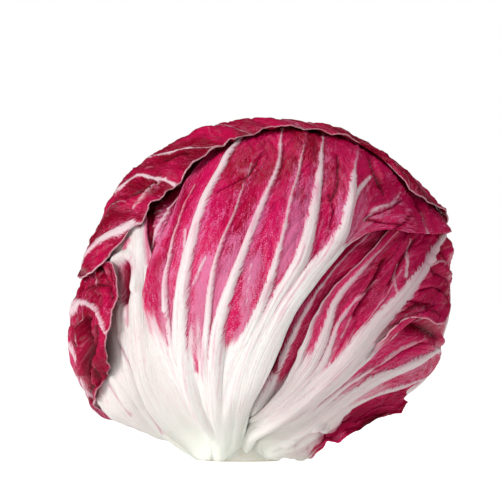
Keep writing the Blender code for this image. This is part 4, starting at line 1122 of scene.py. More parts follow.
# The big front leaf. Its ribs lean to the right, and its upper right corner spreads over the head.
FRONT_LEAF = Leaf(
    "leaf_front", Slot.RIBBED, cell=0.7, crumple=0.6, seed=17, ruffle=0.2, lip=0.25, nick=0.35,
    fuse_left=0.5, fuse_right=0.28,
    ribs=(
        side_edge(0.5, 0.46, foot(-66, 0.7), front(-2.4, (-13, 9.7), (-20.7, 21.7), (-26.7, 36.3),
            (-30.3, 51.7), (-30, 62), (-28, 69.5), (-23.5, 80), (-19.3, 89.7), (-13, 100), (-7, 108))),
        Rib(1, 1.2, 0.75, 0.5, 0.66, 0.38, [foot(-58, 0.7), front(-2.4, (-10.7, 10.3), (-17.3, 23.7),
            (-22.3, 38.7), (-24.7, 53.7), (-24, 66.3), (-20, 80.3), (-15, 92), (-9, 102), (-2, 111))]),
        Rib(2.6, 3.8, 1.4, 1, 1.1, 0.39, [foot(-50, 0.7), front(-2.4, (-9.7, 9.3), (-14.7, 17.7),
            (-18.3, 27), (-20, 40.3), (-19.3, 55.3), (-17.7, 66.3), (-13.7, 80.3), (-8.3, 93.3),
            (-2, 104.3), (2.7, 111.3))]),
        Rib(1.2, 1.1, 0.8, 0.4, 0.75, 0.35, [foot(-42, 0.7), front(-2.4, (-8, 9.7), (-10.7, 20.3),
            (-12, 33.7), (-11, 48.7), (-9.3, 62.7), (-6.7, 72.7), (-3.3, 80.3), (0.3, 90.3), (4.3, 102),
            (8, 112))]),
        Rib(2.6, 2.4, 1.1, 0.55, 0.95, 0.37, [foot(-35, 0.7), front(-2.4, (-6.7, 9), (-8.3, 18.7),
            (-8.7, 30.3), (-7.3, 46.3), (-3.7, 57.7), (2.3, 74.3), (6.7, 85), (11.7, 97.3), (13, 107),
            (14, 112.3))]),
        Rib(1.4, 2.4, 0.81, 0.5, 0.88, 0.41, [foot(-28, 0.7), front(-2.6, (-5, 9), (-4.7, 20.3),
            (-1.3, 35.3), (4.3, 47.7), (9, 60), (13, 73.7), (16.3, 88), (18.3, 95.3), (20.3, 104.3),
            (21.3, 111))]),
        Rib(2.4, 4.6, 1.05, 0.6, 0.86, 0.41, [foot(-21, 0.7), front(-2.8, (-3.3, 9), (-1.3, 20.3),
            (3.3, 37), (11.7, 54.3), (19.3, 67), (22.7, 79), (25.3, 92.3), (26.3, 105.3), (27, 109)),
            around(-3.4, (104, 73))]),
        Rib(3, 6.4, 0.86, 1.9, 0.8, 0.46, [foot(-15, 0.7), front(-2.8, (-1.7, 9), (1.3, 20.3), (7, 36.3),
            (15, 51), (24, 63.3), (31.3, 73.3), (35, 85.7)), front(-2.2, (36.7, 96.3), (38, 104)),
            around(-3, (104, 60))]),
        Rib(0.8, 2, 0.62, 0, 0, 0.53, [foot(-11, 0.7), front(-2.8, (-0.7, 9.3), (2.7, 20.3), (8.3, 35),
            (16, 50.7), (25.7, 63.7), (34.3, 73.7), (40, 83)), front(-1.4, (46, 91.7), (51, 98.6)),
            around(-2.2, (104, 47))]),
        Rib(0.6, 1, 0.6, 0, 0, 0.57, [foot(-8, 0.7), front(-2.8, (0.3, 9.7), (3.3, 20.3), (9.3, 34.3),
            (16.7, 50.7), (26.3, 63.3), (35.7, 73.7), (43.3, 79.7), (52, 85)), front(-0.4, (61.7, 90)),
            around(-0.4, (104, 33))]),
        side_edge(0.5, 0.6, foot(-5, 0.7), front(-2.8, (1.3, 10), (4, 20.3), (10, 33.7), (17.3, 51),
            (27, 63.3), (36, 72.7), (44, 76.3)), front(-1.2, (54, 76)), front(0, (65.3, 75)), around(0,
            (100, 19))),
    ),
    marks=(
        vein(2.6, 0.7, 0.5, (34, 82.7), (36, 86.3), (38.7, 90.3), (42.3, 94.3)),
        vein(0.9, 0.5, 0.2, (-11.7, 67.7), (-13.7, 63.7), (-15.7, 59.3)),
        vein(0.5, 0.3, 0.2, (3.3, 65.7), (2.3, 58.7), (1.3, 51.3)),
        vein(0.7, 0.4, 0.5, (39.7, 79.7), (43, 83), (49, 85.3), (52, 89)),
        vein(0.4, 0.7, 0.3, (59, 82.7), (59.7, 80), (61, 75.3)),
        fold(1, 1.4, -0.9, (41.3, 101.7), (43.7, 95.3), (46, 91), (46.5, 88.7)),
        fold(1, 1, 0.5, (42.5, 101), (44.8, 95.7), (47.2, 91.3), (47.7, 88.7)),
        fold(1, 1.4, -0.6, (31.3, 101), (31.2, 90.7), (29.5, 86.7)),
        fold(0.8, 1, -0.5, (55, 81.3), (52.7, 79), (50, 77)),
        fold(1.6, 1.6, 0.8, (52.3, 86), (54.7, 82.7), (56.3, 78.3)),
        # Patches of painted sheen on the blade.
        painted_sheen(6, 5, 0, (21.3, 92.7), (20.7, 87), (18.7, 79.7)),
        painted_sheen(5, 4, 0, (17.7, 77.7), (15, 70.3), (12.7, 64.3)),
        painted_sheen(5, 3.6, 0, (5, 66.3), (2.3, 53), (-1.3, 39.7)),
        painted_sheen(5, 4, 0, (-11.3, 66.3), (-13.3, 57), (-14.3, 45)),
        painted_sheen(6, 5, 0, (-3.3, 73.7), (-5.7, 63), (-8, 51)),
        painted_sheen(3, 2.4, 0, (-14.7, 98.3), (-20, 87), (-24.7, 75)),
        # Painted shade over the flap at the upper right, and beside the left margin.
        dark(8, 7, 0, (43.3, 88.3), (51.3, 85), (60.7, 81)),
        dark(5, 4, 0, (-28.7, 66.3), (-28, 59), (-27.3, 52.3)),
        fold(1.2, 1, -1.6, (40.7, 81), (47.3, 83), (52.3, 86)),
        fold(1.1, 0.9, -1.5, (54.3, 91), (57.3, 86.3), (60.3, 77.7)),
        fold(1.1, 1, 1.4, (55.7, 91.7), (59.3, 85.7), (62, 75.7)),
        fold(1.4, 1, 0.7, (49.3, 84.3), (53.3, 84.3), (54.7, 80.3)),
        fold(1, 0.9, -1.2, (40, 80), (45.3, 79.3), (52, 78.7)),
        fold(1, 0.9, -1.3, (41.3, 101), (43, 96.3), (45.3, 90.3)),
        fold(0.9, 0.9, 1.2, (42.7, 101), (44.7, 96), (46.7, 90.3)),
        fold(0.8, 0.8, -1, (47.3, 98.3), (51.3, 93.7), (55.3, 89)),
        fold(0.8, 0.7, -0.8, (6.7, 101.7), (3.7, 96.7), (0, 91.3)),
        fold(0.8, 0.7, 0.6, (7.7, 101.3), (4.7, 96.3), (1, 91)),
        fold(0.8, 0.7, -0.7, (-8, 89), (-3, 91.7), (2, 94.3)),
        fold(0.8, 0.7, -0.8, (28.3, 88.3), (30, 83), (29, 77)),
        painted_sheen(3, 2.6, 0, (5.7, 82.3), (1.7, 71.7), (-0.7, 64.3)),
        fleck(2.4, 0.8, 0, (-25.7, 49), (-24.7, 43.7), (-23.8, 39.3)),
        # A line of painted sheen along the left margin, raised a little.
        painted_sheen(1.6, 1.6, 0.5, (-13.7, 99.3), (-16.8, 94.7), (-20, 88), (-22.7, 83), (-25.3, 76.3),
            (-28, 69.3), (-30, 64.3)),
        # A patch of painted shade just inside the left margin.
        dark(2.2, 2.2, -0.4, (-18, 88.3), (-20.7, 82.3), (-23, 75), (-25, 66.3)),
        vein(0.8, 1.8, 0.2, (-18.2, 76.7), (-18.5, 70.3), (-19, 63), (-19.7, 53.7)),
        # Painted shade over the flap.
        dark(9, 9, 0, (44.3, 92), (51, 87), (59.3, 79.7)),
        painted_sheen(3, 2.6, 0, (50.7, 86), (54, 83), (55.3, 80.3)),
        fleck(1.6, 0.8, 0, (-15.7, 39.3), (-15, 35.3), (-14.7, 31.3)),
    ),
)

# The crumpled leaf that hangs loose on the left.
LEFT_OUTER_LEAF = Leaf(
    "leaf_left_outer", Slot.RED, cell=0.6, crumple=1.2, wave=1.2, waves=4, pleat=1.8, pleats=3.5, seed=18,
    pucker=0.9, crease=0.9, quilt=0.7, rim=0.04, painted_sheen=1.1, depth=0, fuse_right=0.1,
    ribs=(
        side_edge(0.5, 0.2, foot(-168, 5.8), around(-2.4, (-154, -50), (-144, -28), (-138, -8),
            (-132, 5))),
        Rib(1.4, 1.4, 1.2, 0.5, 0.9, 0.25, [foot(-157, 5.6), around(-1.4, (-140, -51)), around(0.6,
            (-128, -29), (-120, -10)), around(-1.8, (-116, 3))]),
        Rib(2.2, 2.6, 1.3, 0.8, 1, 0.3, [foot(-147, 5.4), around(0, (-127, -51)), around(6, (-110, -33)),
            around(4, (-104, -16)), around(-1.4, (-101, -5)), around(-4, (-101, 5))]),
        Rib(1, 1.2, 1.2, 0.6, 0.95, 0.28, [foot(-139, 5.4), around(-1.5, (-136, -50)), around(0,
            (-121, -43)), around(10, (-99, -35)), around(8.4, (-92, -24)), around(5.8, (-89, -12)),
            around(-0.4, (-87, -2)), around(-3.6, (-86, 9))]),
        Rib(1, 1, 1.2, 0.5, 0.9, 0.25, [foot(-133, 5.4), around(-1.5, (-132, -51)), around(-1,
            (-119, -45)), around(9, (-98, -38)), around(8.8, (-84, -28)), around(6.4, (-74, -13)),
            around(0.8, (-71, -1)), around(-3, (-70, 10))]),
        side_edge(0.5, 0.2, foot(-127, 5.6), around(-3, (-128, -53)), around(-2.6, (-117, -48)), around(6,
            (-99, -40)), around(8.4, (-74, -31)), around(5.8, (-56, -17)), around(1.6, (-53, -5)),
            around(-2.4, (-57, 8))),
    ),
    marks=(
        vein(1, 2, 0.5, (-57.7, 47), (-55.7, 50.3), (-54, 52.7)),
        vein(1.7, 1, 0.6, (-53.7, 52.7), (-50.7, 52.7), (-48.3, 51)),
        vein(1, 0.9, 0.6, (-48.3, 51), (-46.3, 47.7), (-45, 44), (-43, 42.3)),
        vein(1.2, 1, 0.2, (-57.3, 39), (-55.7, 35.7), (-54.3, 32.3)),
        vein(1.4, 0.9, 0.4, (-53, 27), (-51, 22.7), (-47, 18.7)),
        fold(2.8, 2.4, -2.4, (-51.3, 47), (-50.3, 38.7), (-50.7, 30.3), (-49.7, 21)),
        fold(2, 1.8, -1.8, (-48, 45), (-48.7, 37.7), (-47.7, 29.7), (-47, 25.7)),
        fold(1.6, 1.4, 1.6, (-46, 42.3), (-46, 36.3), (-48, 32.3), (-48.7, 27)),
        fold(1.6, 1.4, 1.8, (-53, 45), (-52.3, 37), (-52.7, 29.7)),
        fold(1.3, 1.2, -1.6, (-56, 45), (-55.3, 39), (-53.7, 33)),
        fold(2.2, 2, -1.6, (-45.7, 29.7), (-45, 24.3), (-44.7, 19.7)),
        fold(1.2, 1.2, 1.2, (-47.3, 25), (-46.3, 21.7), (-46.3, 17.7)),
        fold(1.4, 1.2, 1.2, (-49.3, 66.3), (-46.3, 61), (-44.7, 55), (-43.7, 47.7)),
        fold(1.2, 1, -1.4, (-47.3, 66.3), (-44, 60.3), (-42.7, 53.7)),
        fold(1.2, 1, -1.2, (-50, 57.7), (-46.7, 58.7), (-43.3, 58)),
        fold(1.2, 1, 1, (-50, 56), (-46.3, 57), (-43, 56)),
        # Painted shade over the middle of the crumpled lobe.
        dark(7, 6, 0, (-49.3, 46.3), (-48.7, 37), (-48, 22)),
        painted_sheen(3, 2, 0, (-46.3, 55.3), (-44, 49.7)),
    ),
)

# A short loose leaf low on the back.
LOWER_BACK_LEAF = Leaf(
    "leaf_lower_back", Slot.RED, cell=1, crumple=0.8, wave=2, waves=3.5,
    rolls=(Roll(Edge.TIP, 0.72, 36, 0.26, 0.34),), tuck=3, seed=19,
    ribs=(
        side_edge(0.5, 0.3, foot(88, 5.6), around(-2, (103, -62)), around(0.6, (113, -46), (119, -28),
            (125, -12), (132, 0))),
        Rib(1.4, 2, 1.2, 0.6, 0.95, 0.38, [foot(108, 5.4), around(-2, (122, -60)), around(0.4, (130, -42),
            (134, -22), (138, -2), (141, 12))]),
        Rib(2.8, 5, 1.35, 0.9, 1, 0.42, [foot(130, 5.2), around(-2, (143, -60)), around(0.4, (150, -42),
            (153, -20), (155, 2), (157, 18))]),
        Rib(1.4, 2, 1.2, 0.6, 0.95, 0.38, [foot(152, 5.4), around(-2, (164, -60)), around(0.4, (170, -42),
            (173, -22), (174, -2), (173, 14))]),
        side_edge(0.5, 0.3, foot(172, 5.6), around(-2, (184, -62)), around(0.6, (189, -46), (191, -28),
            (191, -10), (188, 5))),
    ),
)

# The outermost leaf, which comes up the back and folds over the top of the head.
CAP_LEAF = Leaf(
    "leaf_cap", Slot.RED, cell=0.95, crumple=1.1, wave=1.2, waves=4, tuck=2, seed=20, pucker=0.8,
    crease=0.8, quilt=0.6, lip=0.6, rim=0.08,
    ribs=(
        side_edge(0.5, 0.2, foot(158, 3.6), around(0, (158, -40), (157, 0), (150, 24)), around(0.2,
            (137, 32), (118, 29)), around(0.6, (103, 25), (92, 20.5))),
        Rib(1.2, 1.8, 1.1, 0.4, 0.9, 0.22, [foot(165, 3.4), around(-0.6, (168, -40), (168, 0), (164, 34)),
            around(-1.6, (154, 57), (128, 64)), front(-2.4, (47.3, 100), (52, 96.7)), front(0.8,
            (55.4, 90.6))]),
        Rib(1.4, 2.2, 1.1, 0.5, 0.9, 0.25, [foot(172, 3.4), around(-0.8, (178, -40), (180, 0), (178, 36)),
            around(-1.4, (176, 62), (150, 80)), front(-2.8, (29.3, 110), (35.3, 108), (41.3, 103.7))]),
        Rib(2.6, 5, 1.3, 0.9, 1, 0.28, [foot(-180, 3.4), around(-0.8, (-173, -40), (-169, 0), (-164, 38),
            (-152, 64), (-118, 80)), front(-1.2, (6.7, 113.3), (13.3, 111.4), (20, 109.4))]),
        Rib(1.4, 2.4, 1.1, 0.6, 0.97, 0.25, [foot(-172, 3.4), around(-0.6, (-164, -40), (-158, 0),
            (-150, 36), (-134, 60)), front(0, (-16.7, 108.7), (-9.3, 110), (-2.7, 109.7), (3, 108.6))]),
        Rib(1.4, 2.6, 1.4, 0.8, 0.98, 0.25, [foot(-165, 3.4), around(-0.6, (-157, -41), (-149, -4),
            (-138, 30), (-122, 48)), front(0, (-30, 101), (-22, 103), (-14, 104), (-7.6, 103.6))]),
        Rib(1.8, 3.4, 1.6, 1.4, 0.96, 0.25, [foot(-158, 3.4), around(-0.6, (-151, -43), (-142, -10),
            (-127, 22), (-110, 34)), front(0, (-40.3, 91), (-35, 93.7), (-29.3, 94), (-21.8, 91.6))]),
        Rib(1, 1.4, 0.93, 0, 0, 0.22, [foot(-152, 3.4), around(0, (-147, -45), (-138, -16), (-118, 14)),
            front(0, (-46.7, 79.7), (-42.3, 84.3), (-37.7, 85.3), (-28.6, 84.4))]),
        Rib(1.6, 2.8, 1.9, 1.3, 0.97, 0.25, [foot(-146, 3.6), around(0.4, (-144, -47), (-135, -22),
            (-120, 3)), front(0, (-49, 69), (-45.7, 73.7), (-41.3, 76.7), (-33, 78.8))]),
        Rib(0.5, 0.8, 1.6, 0.4, 1, 0.2, [foot(-140, 3.8), around(1, (-141, -48), (-132, -27), (-121, -7)),
            around(-0.6, (-106, 3)), front(-0.8, (-49.3, 61)), front(0.2, (-45.7, 63.3), (-41, 69.7),
            (-35.7, 77.3))]),
    ),
    marks=(
        # The crest of a fold above the hem, raised, with a thin white line painted on it as its highlight.
        vein(0.4, 0.4, 0.6, (-35.3, 84), (-30.7, 88.3), (-24.7, 93.7)),
        painted_sheen(2, 2, 0, (29.3, 107), (42.7, 101.3), (54.3, 93)),
        vein(1.6, 3.4, 0.4, (-50.7, 65), (-48.7, 70.3), (-45.7, 73.7), (-40.7, 76), (-36, 78.7)),
        fold(1.6, 1.6, -1.6, (-40, 85.3), (-34, 88.3), (-28, 92.3)),
        fold(1.4, 1.4, 1.2, (-39.3, 83.7), (-33.3, 86.7), (-28, 90.3)),
        fold(1.6, 1.4, -1.6, (-43.3, 66.3), (-40.3, 71), (-36.3, 76)),
        fold(1.6, 1.6, -1.5, (-30.7, 97), (-24.7, 100.3), (-18, 102)),
        fold(1.4, 1.4, -1.2, (-30.7, 101), (-22.3, 105), (-14, 107.7)),
    ),
)

# From the heart outwards.
LEAVES = (
    INNER_LEFT_LEAF, INNER_RIGHT_LEAF, BACK_RIGHT_LEAF, LOWER_RIGHT_LEAF, RIGHT_LEAF, LEFT_LEAF,
    FRONT_LEAF, LEFT_OUTER_LEAF, LOWER_BACK_LEAF, CAP_LEAF,
)


@dataclass(frozen=True)
class Stem:
    """The stub of the stem: a turned body with a flat cut face, which flares into the feet of the leaves.

    Its lobes are low swellings of its side, and within its core it has none. Lengths are in mm.
    """

    profile: tuple[tuple[float, float], ...] = (
        (0, 0), (4, 0), (8, 0), (11.6, 0), (12.3, 0.15), (12.8, 0.6), (13.1, 1.5), (13.1, 3), (12.9, 5),
        (12.2, 7), (10, 8.6), (0, 8.8),
    )
    sides: int = 128
    lobes: float = 0.35
    lobe_pitch: float = 5.0
    lobe_pitch_up: float = 9.0
    lobes_from: float = 0.3
    lobes_over: float = 2.0
    core: float = 1.0

    def build(self) -> bpy.types.Object:
        """Turns the profile, and gives its side low lobes where the leaves' feet leave it."""
        shape = bmesh.new()
        line = smooth(np.array([(radius, 0.0, height) for radius, height in self.profile]), per_gap=3)
        verts = [shape.verts.new(Vector(spot * MM)) for spot in line]
        for first, second in zip(verts, verts[1:]):
            shape.edges.new((first, second))
        bmesh.ops.spin(
            shape, geom=shape.verts[:] + shape.edges[:], cent=(0, 0, 0), axis=(0, 0, 1), angle=2 * math.pi,
            steps=self.sides, use_merge=True, use_duplicate=False,
        )
        bmesh.ops.remove_doubles(shape, verts=shape.verts, dist=TOUCHING_MM * MM)
        bmesh.ops.recalc_face_normals(shape, faces=shape.faces)
        for vert in shape.verts:
            spot = vert.co / MM
            out = math.hypot(spot.x, spot.y)
            free = float(ramp(spot.z, self.lobes_from, self.lobes_over))
            at = Vector((spot.x / self.lobe_pitch, spot.y / self.lobe_pitch, spot.z / self.lobe_pitch_up))
            lobe = self.lobes * free * noise.noise(at)
            if out > self.core:
                vert.co.x *= 1 + lobe / out
                vert.co.y *= 1 + lobe / out
            vert.co.z = max(vert.co.z, 0)
        return new_piece("stem_stub", to_mesh(shape, "stem_stub"))


@dataclass(frozen=True)
class Heart:
    """The tightly wrapped inner leaves: a ball whose surface steps down at the edge of each leaf.

    It lies depth under the head's surface, and tuck deeper near the stem. Its map is map_width wide for each
    wrapped leaf, and the white of its foot ends white_below under its middle. Lengths are in mm.
    """

    depth: float = 10.0
    tuck: float = 4.0
    leaves: int = 5
    step: float = 1.3
    twist: float = 0.35
    lowest: float = 9.2
    sides: int = 160
    rings: int = 96
    dents: float = 0.5
    dents_across: float = 9.0
    rib_half_width: float = 0.8
    white_below: float = 20.0
    map_width: float = 60.0

    def build(self) -> bpy.types.Object:
        """Shapes the ball, and marks a rib along the middle of each wrapped leaf."""
        shape = bmesh.new()
        bmesh.ops.create_uvsphere(shape, u_segments=self.sides, v_segments=self.rings, radius=1)
        marks = []
        flat = []
        for vert in shape.verts:
            direction = np.array(vert.co) / vert.co.length
            turns = math.atan2(direction[1], direction[0]) / (2 * math.pi) + self.twist * direction[2]
            share = turns * self.leaves % 1
            level = math.hypot(direction[0], direction[1])
            step = self.step * share * level
            tuck = self.tuck * float(ramp(-direction[2], *TUCK_STRETCH))
            dent = self.dents * noise.noise(Vector(direction * self.dents_across)) * level
            radius = float(ball_radius(direction)) - self.depth - self.step + step - tuck + dent
            spot = HEAD_CENTRE_MM + direction * radius
            spot[2] = max(spot[2], self.lowest)
            vert.co = Vector(spot * MM)
            wide = 2 * math.pi * radius * level / self.leaves
            up = radius * math.asin(direction[2])
            away = abs(share - 0.5) * wide
            rib = self.rib_half_width * (1 - direction[2])
            marks.append((away, rib - away, -self.white_below - up))
            flat.append((share * self.map_width, up))
        mesh = to_mesh(shape, "wrapped_heart")
        write_points(mesh, "marks", np.array(marks))
        write_map(mesh, np.array(flat))
        return new_piece("wrapped_heart", mesh)


def blend(first: tuple, second: tuple, share: float) -> tuple:
    """Two colours, mixed by a share."""
    return tuple(start + (end - start) * share for start, end in zip(first, second))


def linear(red: int, green: int, blue: int) -> tuple[float, float, float, float]:
    """A colour as shown on a screen, 0 to 255 each, as the light that a shader takes."""
    shown = [value / 255 for value in (red, green, blue)]
    light = [value / 12.92 if value <= 0.04045 else ((value + 0.055) / 1.055) ** 2.4 for value in shown]
    return (*light, 1.0)


Socket = bpy.types.NodeSocket


class Value:
    """What a node gives, which can be reckoned with as a number can."""

    def __init__(self, nodes: "Nodes", socket: Socket) -> None:
        """Holds one output of a node of that tree."""
        self.nodes = nodes
        self.socket = socket

    def __add__(self, other: "Value | float") -> "Value":
        """The two together."""
        return self.nodes.math("ADD", self, other)

    def __sub__(self, other: "Value | float") -> "Value":
        """This less the other."""
        return self.nodes.math("SUBTRACT", self, other)

    def __mul__(self, other: "Value | float") -> "Value":
        """This times the other."""
        return self.nodes.math("MULTIPLY", self, other)

    def __truediv__(self, other: "Value | float") -> "Value":
        """This divided by the other."""
        return self.nodes.math("DIVIDE", self, other)

    def __abs__(self) -> "Value":
        """This without its sign."""
        return self.nodes.math("ABSOLUTE", self)

    def larger(self, other: "Value | float") -> "Value":
        """The larger of the two."""
        return self.nodes.math("MAXIMUM", self, other)

    def step(self, low: float, high: float, first: float = 0, last: float = 1) -> "Value":
        """A soft step from first to last while this goes from low to high."""
        limits = {"Value": self, "From Min": low, "From Max": high, "To Min": first, "To Max": last}
        return self.nodes.value("MapRange", 0, limits, interpolation_type="SMOOTHSTEP")

    def about(self, height: "Value | float") -> "Value":
        """A noise from 0 to 1 made one from minus height to plus height."""
        return (self - 0.5) * (height * 2.0)

    def line(self, width: float) -> "Value":
        """1 on the thin lines where a noise crosses its middle, 0 elsewhere."""
        return abs(self - 0.5).step(0, width, 1, 0)


class Nodes:
    """Adds nodes to one tree."""

    def __init__(self, tree: bpy.types.NodeTree) -> None:
        """Works on that tree."""
        self.tree = tree

    def fill(self, node: bpy.types.Node, values: dict) -> None:
        """Sets or links the inputs of a node, by their names or numbers."""
        for name, value in values.items():
            if isinstance(value, Value):
                self.tree.links.new(value.socket, node.inputs[name])
            else:
                node.inputs[name].default_value = value

    def add(self, kind: str, values: dict | None = None, **settings: object) -> bpy.types.Node:
        """Adds one node.

        Args:
            kind: the node's type, without its prefix.
            values: what its inputs are set or linked to, by their name or number.
            settings: the node's own settings.

        Returns:
            The node.
        """
        prefix = "Node" if kind in ("GroupInput", "GroupOutput") else "ShaderNode"
        node = self.tree.nodes.new(prefix + kind)
        for name, setting in settings.items():
            setattr(node, name, setting)
        self.fill(node, values or {})
        return node

    def value(self, kind: str, output: int | str = 0, values: dict | None = None,
              **settings: object) -> Value:
        """One output of a new node."""
        return Value(self, self.add(kind, values, **settings).outputs[output])

    def outputs(self, kind: str, values: dict | None = None, **settings: object) -> dict[str, Value]:
        """The outputs of a new node by their names."""
        return {socket.name: Value(self, socket) for socket in self.add(kind, values, **settings).outputs}

    def math(self, operation: str, first: Value | float, second: Value | float = 0.0) -> Value:
        """The result of one sum on two values."""
        return self.value("Math", 0, {0: first, 1: second}, operation=operation)

    def mix(self, share: Value, first: Value | tuple, second: Value | tuple, how: str = "MIX") -> Value:
        """Two colours, mixed by a share."""
        return self.value("Mix", 2, {0: share, 6: first, 7: second}, data_type="RGBA", blend_type=how)

    def between(self, share: Value, first: Value | float, second: Value | float) -> Value:
        """Two numbers, mixed by a share."""
        return self.value("Mix", 0, {0: share, 2: first, 3: second}, data_type="FLOAT")


class Pattern(Enum):
    """The noises of a leaf's skin: two pitches in mm, which of many noises each is, and its detail."""

    BARB = (1.1, 5.0, 0, 2)
    FIBRE = (0.5, 1.1, 0, 2)
    STREAK = (3.4, 26.0, 7, 3)
    LONG_VEIN = (4.5, 60.0, 3, 0)
    SIDE_VEIN = (7.0, 22.0, 5, 0)
    PATCH = (7.0, 12.0, 11, 0)
    BROAD = (14.0, 26.0, 13, 2)
    THREAD = (0.9, 4.0, 17, 3)
    CROSS = (1.3, 1.8, 19, 3)
    SPECK = (0.45, 0.45, 37, 2)
    GLEAM = (6.0, 30.0, 23, 2)
    FURROW = (1.5, 22.0, 29, 2)
    GRAIN = (0.4, 2.6, 41, 2)
    LENGTHWISE = (0.9, 14.0, 31, 2)

    def over(self, first: Value, second: Value, seed: Value) -> Value:
        """The noise, from 0 to 1, over two distances in mm."""
        pitch, other_pitch, kin, detail = self.value
        nodes = first.nodes
        at = nodes.value("CombineXYZ", 0, {0: first / pitch, 1: second / other_pitch, 2: seed + kin})
        return nodes.value("TexNoise", 0, {"Vector": at, "Scale": 1.0, "Detail": detail})


# What the skin takes from a leaf's look, by the names of its fields, the colours of its painted sheen and
# painted shade among them.
SKIN_COLORS = ("Red", "Dark", "Painted_sheen", "Flesh", "Tinge", "Green", "Shade")
SKIN_AMOUNTS = ("Barbs", "Streaks", "Veining", "Sheen")


# The soft steps of the skin: from where to where, and what they give at both ends when that isn't 0 and 1.
# Those over a distance from a rib, from the end of the foot's white or up the leaf are in mm.
RIB_WHITE = (-0.34, 0.36)
FOOT_WHITE = (-8, 6)
VEIN_PATCHES = (0.42, 0.62)
BROAD_TONE = (0.3, 0.7, -0.25, 0.45)
FOOT_TONE = (-90, 0, 0.3, 0.85)
# The steps of the painted sheen: near the ribs, near the foot, where it shows, and pinker near the foot.
RIB_GLEAM = (0, 2, 0.14, 0)
FOOT_GLEAM = (-80, -6, -0.18, 0.12)
SHINE = (0.46, 0.95)
PINKER_SHINE = (-50, 0, 0, 0.7)
ABOVE_STEM = (12, 60)
PINK_FURROWS = (0.5, 0.75)
PINK_UP_LEAF = (60, -10, 0.12, 0.7)
PINK_GRAIN = (0.5, 0.75, 0, 0.35)
PINK_EDGE = (0, 1.6, 0.5, 0)
PINK_UP_WHITE = (14, -50, 0, 0.34)
GREEN_FOOT = (42, 6, 0, 0.85)
GROOVE = (0, 0.45, 1, 0)
GROOVED_WHITE = (0.9, 1.8, 0, 0.35)
# How strongly painted shade darkens the red, and the white.
SHADE_DEPTH = (0, 1, 0.92, 0.22)
NET_LINES = (0, 0.25)

# How strong the skin's details are, in mm where they fray the white, and otherwise as shares.
FIBRE_FRAY = 0.7
FOOT_FRAY = 3.0
LONG_VEIN_WIDTH = 0.014
SIDE_VEIN_WIDTH = 0.012
THREAD_TONE = 0.35
CROSS_TONE = 0.3
SPECK_TONE = 0.5
# How the painted sheen gathers near the ribs, in the fine grain and in the sheen patches.
RIB_GLEAM_MM = 0.7
FINE_GLEAM = 1.3
SHEEN_PATCH_GLEAM = 0.3
RIB_EDGE = 1.5
FOOT_EDGE = 0.25
GREEN_GROOVE = 0.25
# Painted shade turns the white pink by this share before it darkens it.
PINK_SHADE = 0.75
NET_PITCHES = (2.4, 3.6)
NET_HEIGHT = 0.2
THREAD_HEIGHT = 0.8
CROSS_HEIGHT = 0.6
VEIN_HEIGHT = 0.5
GROOVE_DEPTH = 0.8
STEM_FURROWS = 0.35
WHITE_HEIGHT = 0.6
THREAD_ROUGHNESS = 0.1
WHITE_ROUGHNESS = 0.08
ROUGHNESS = 0.26


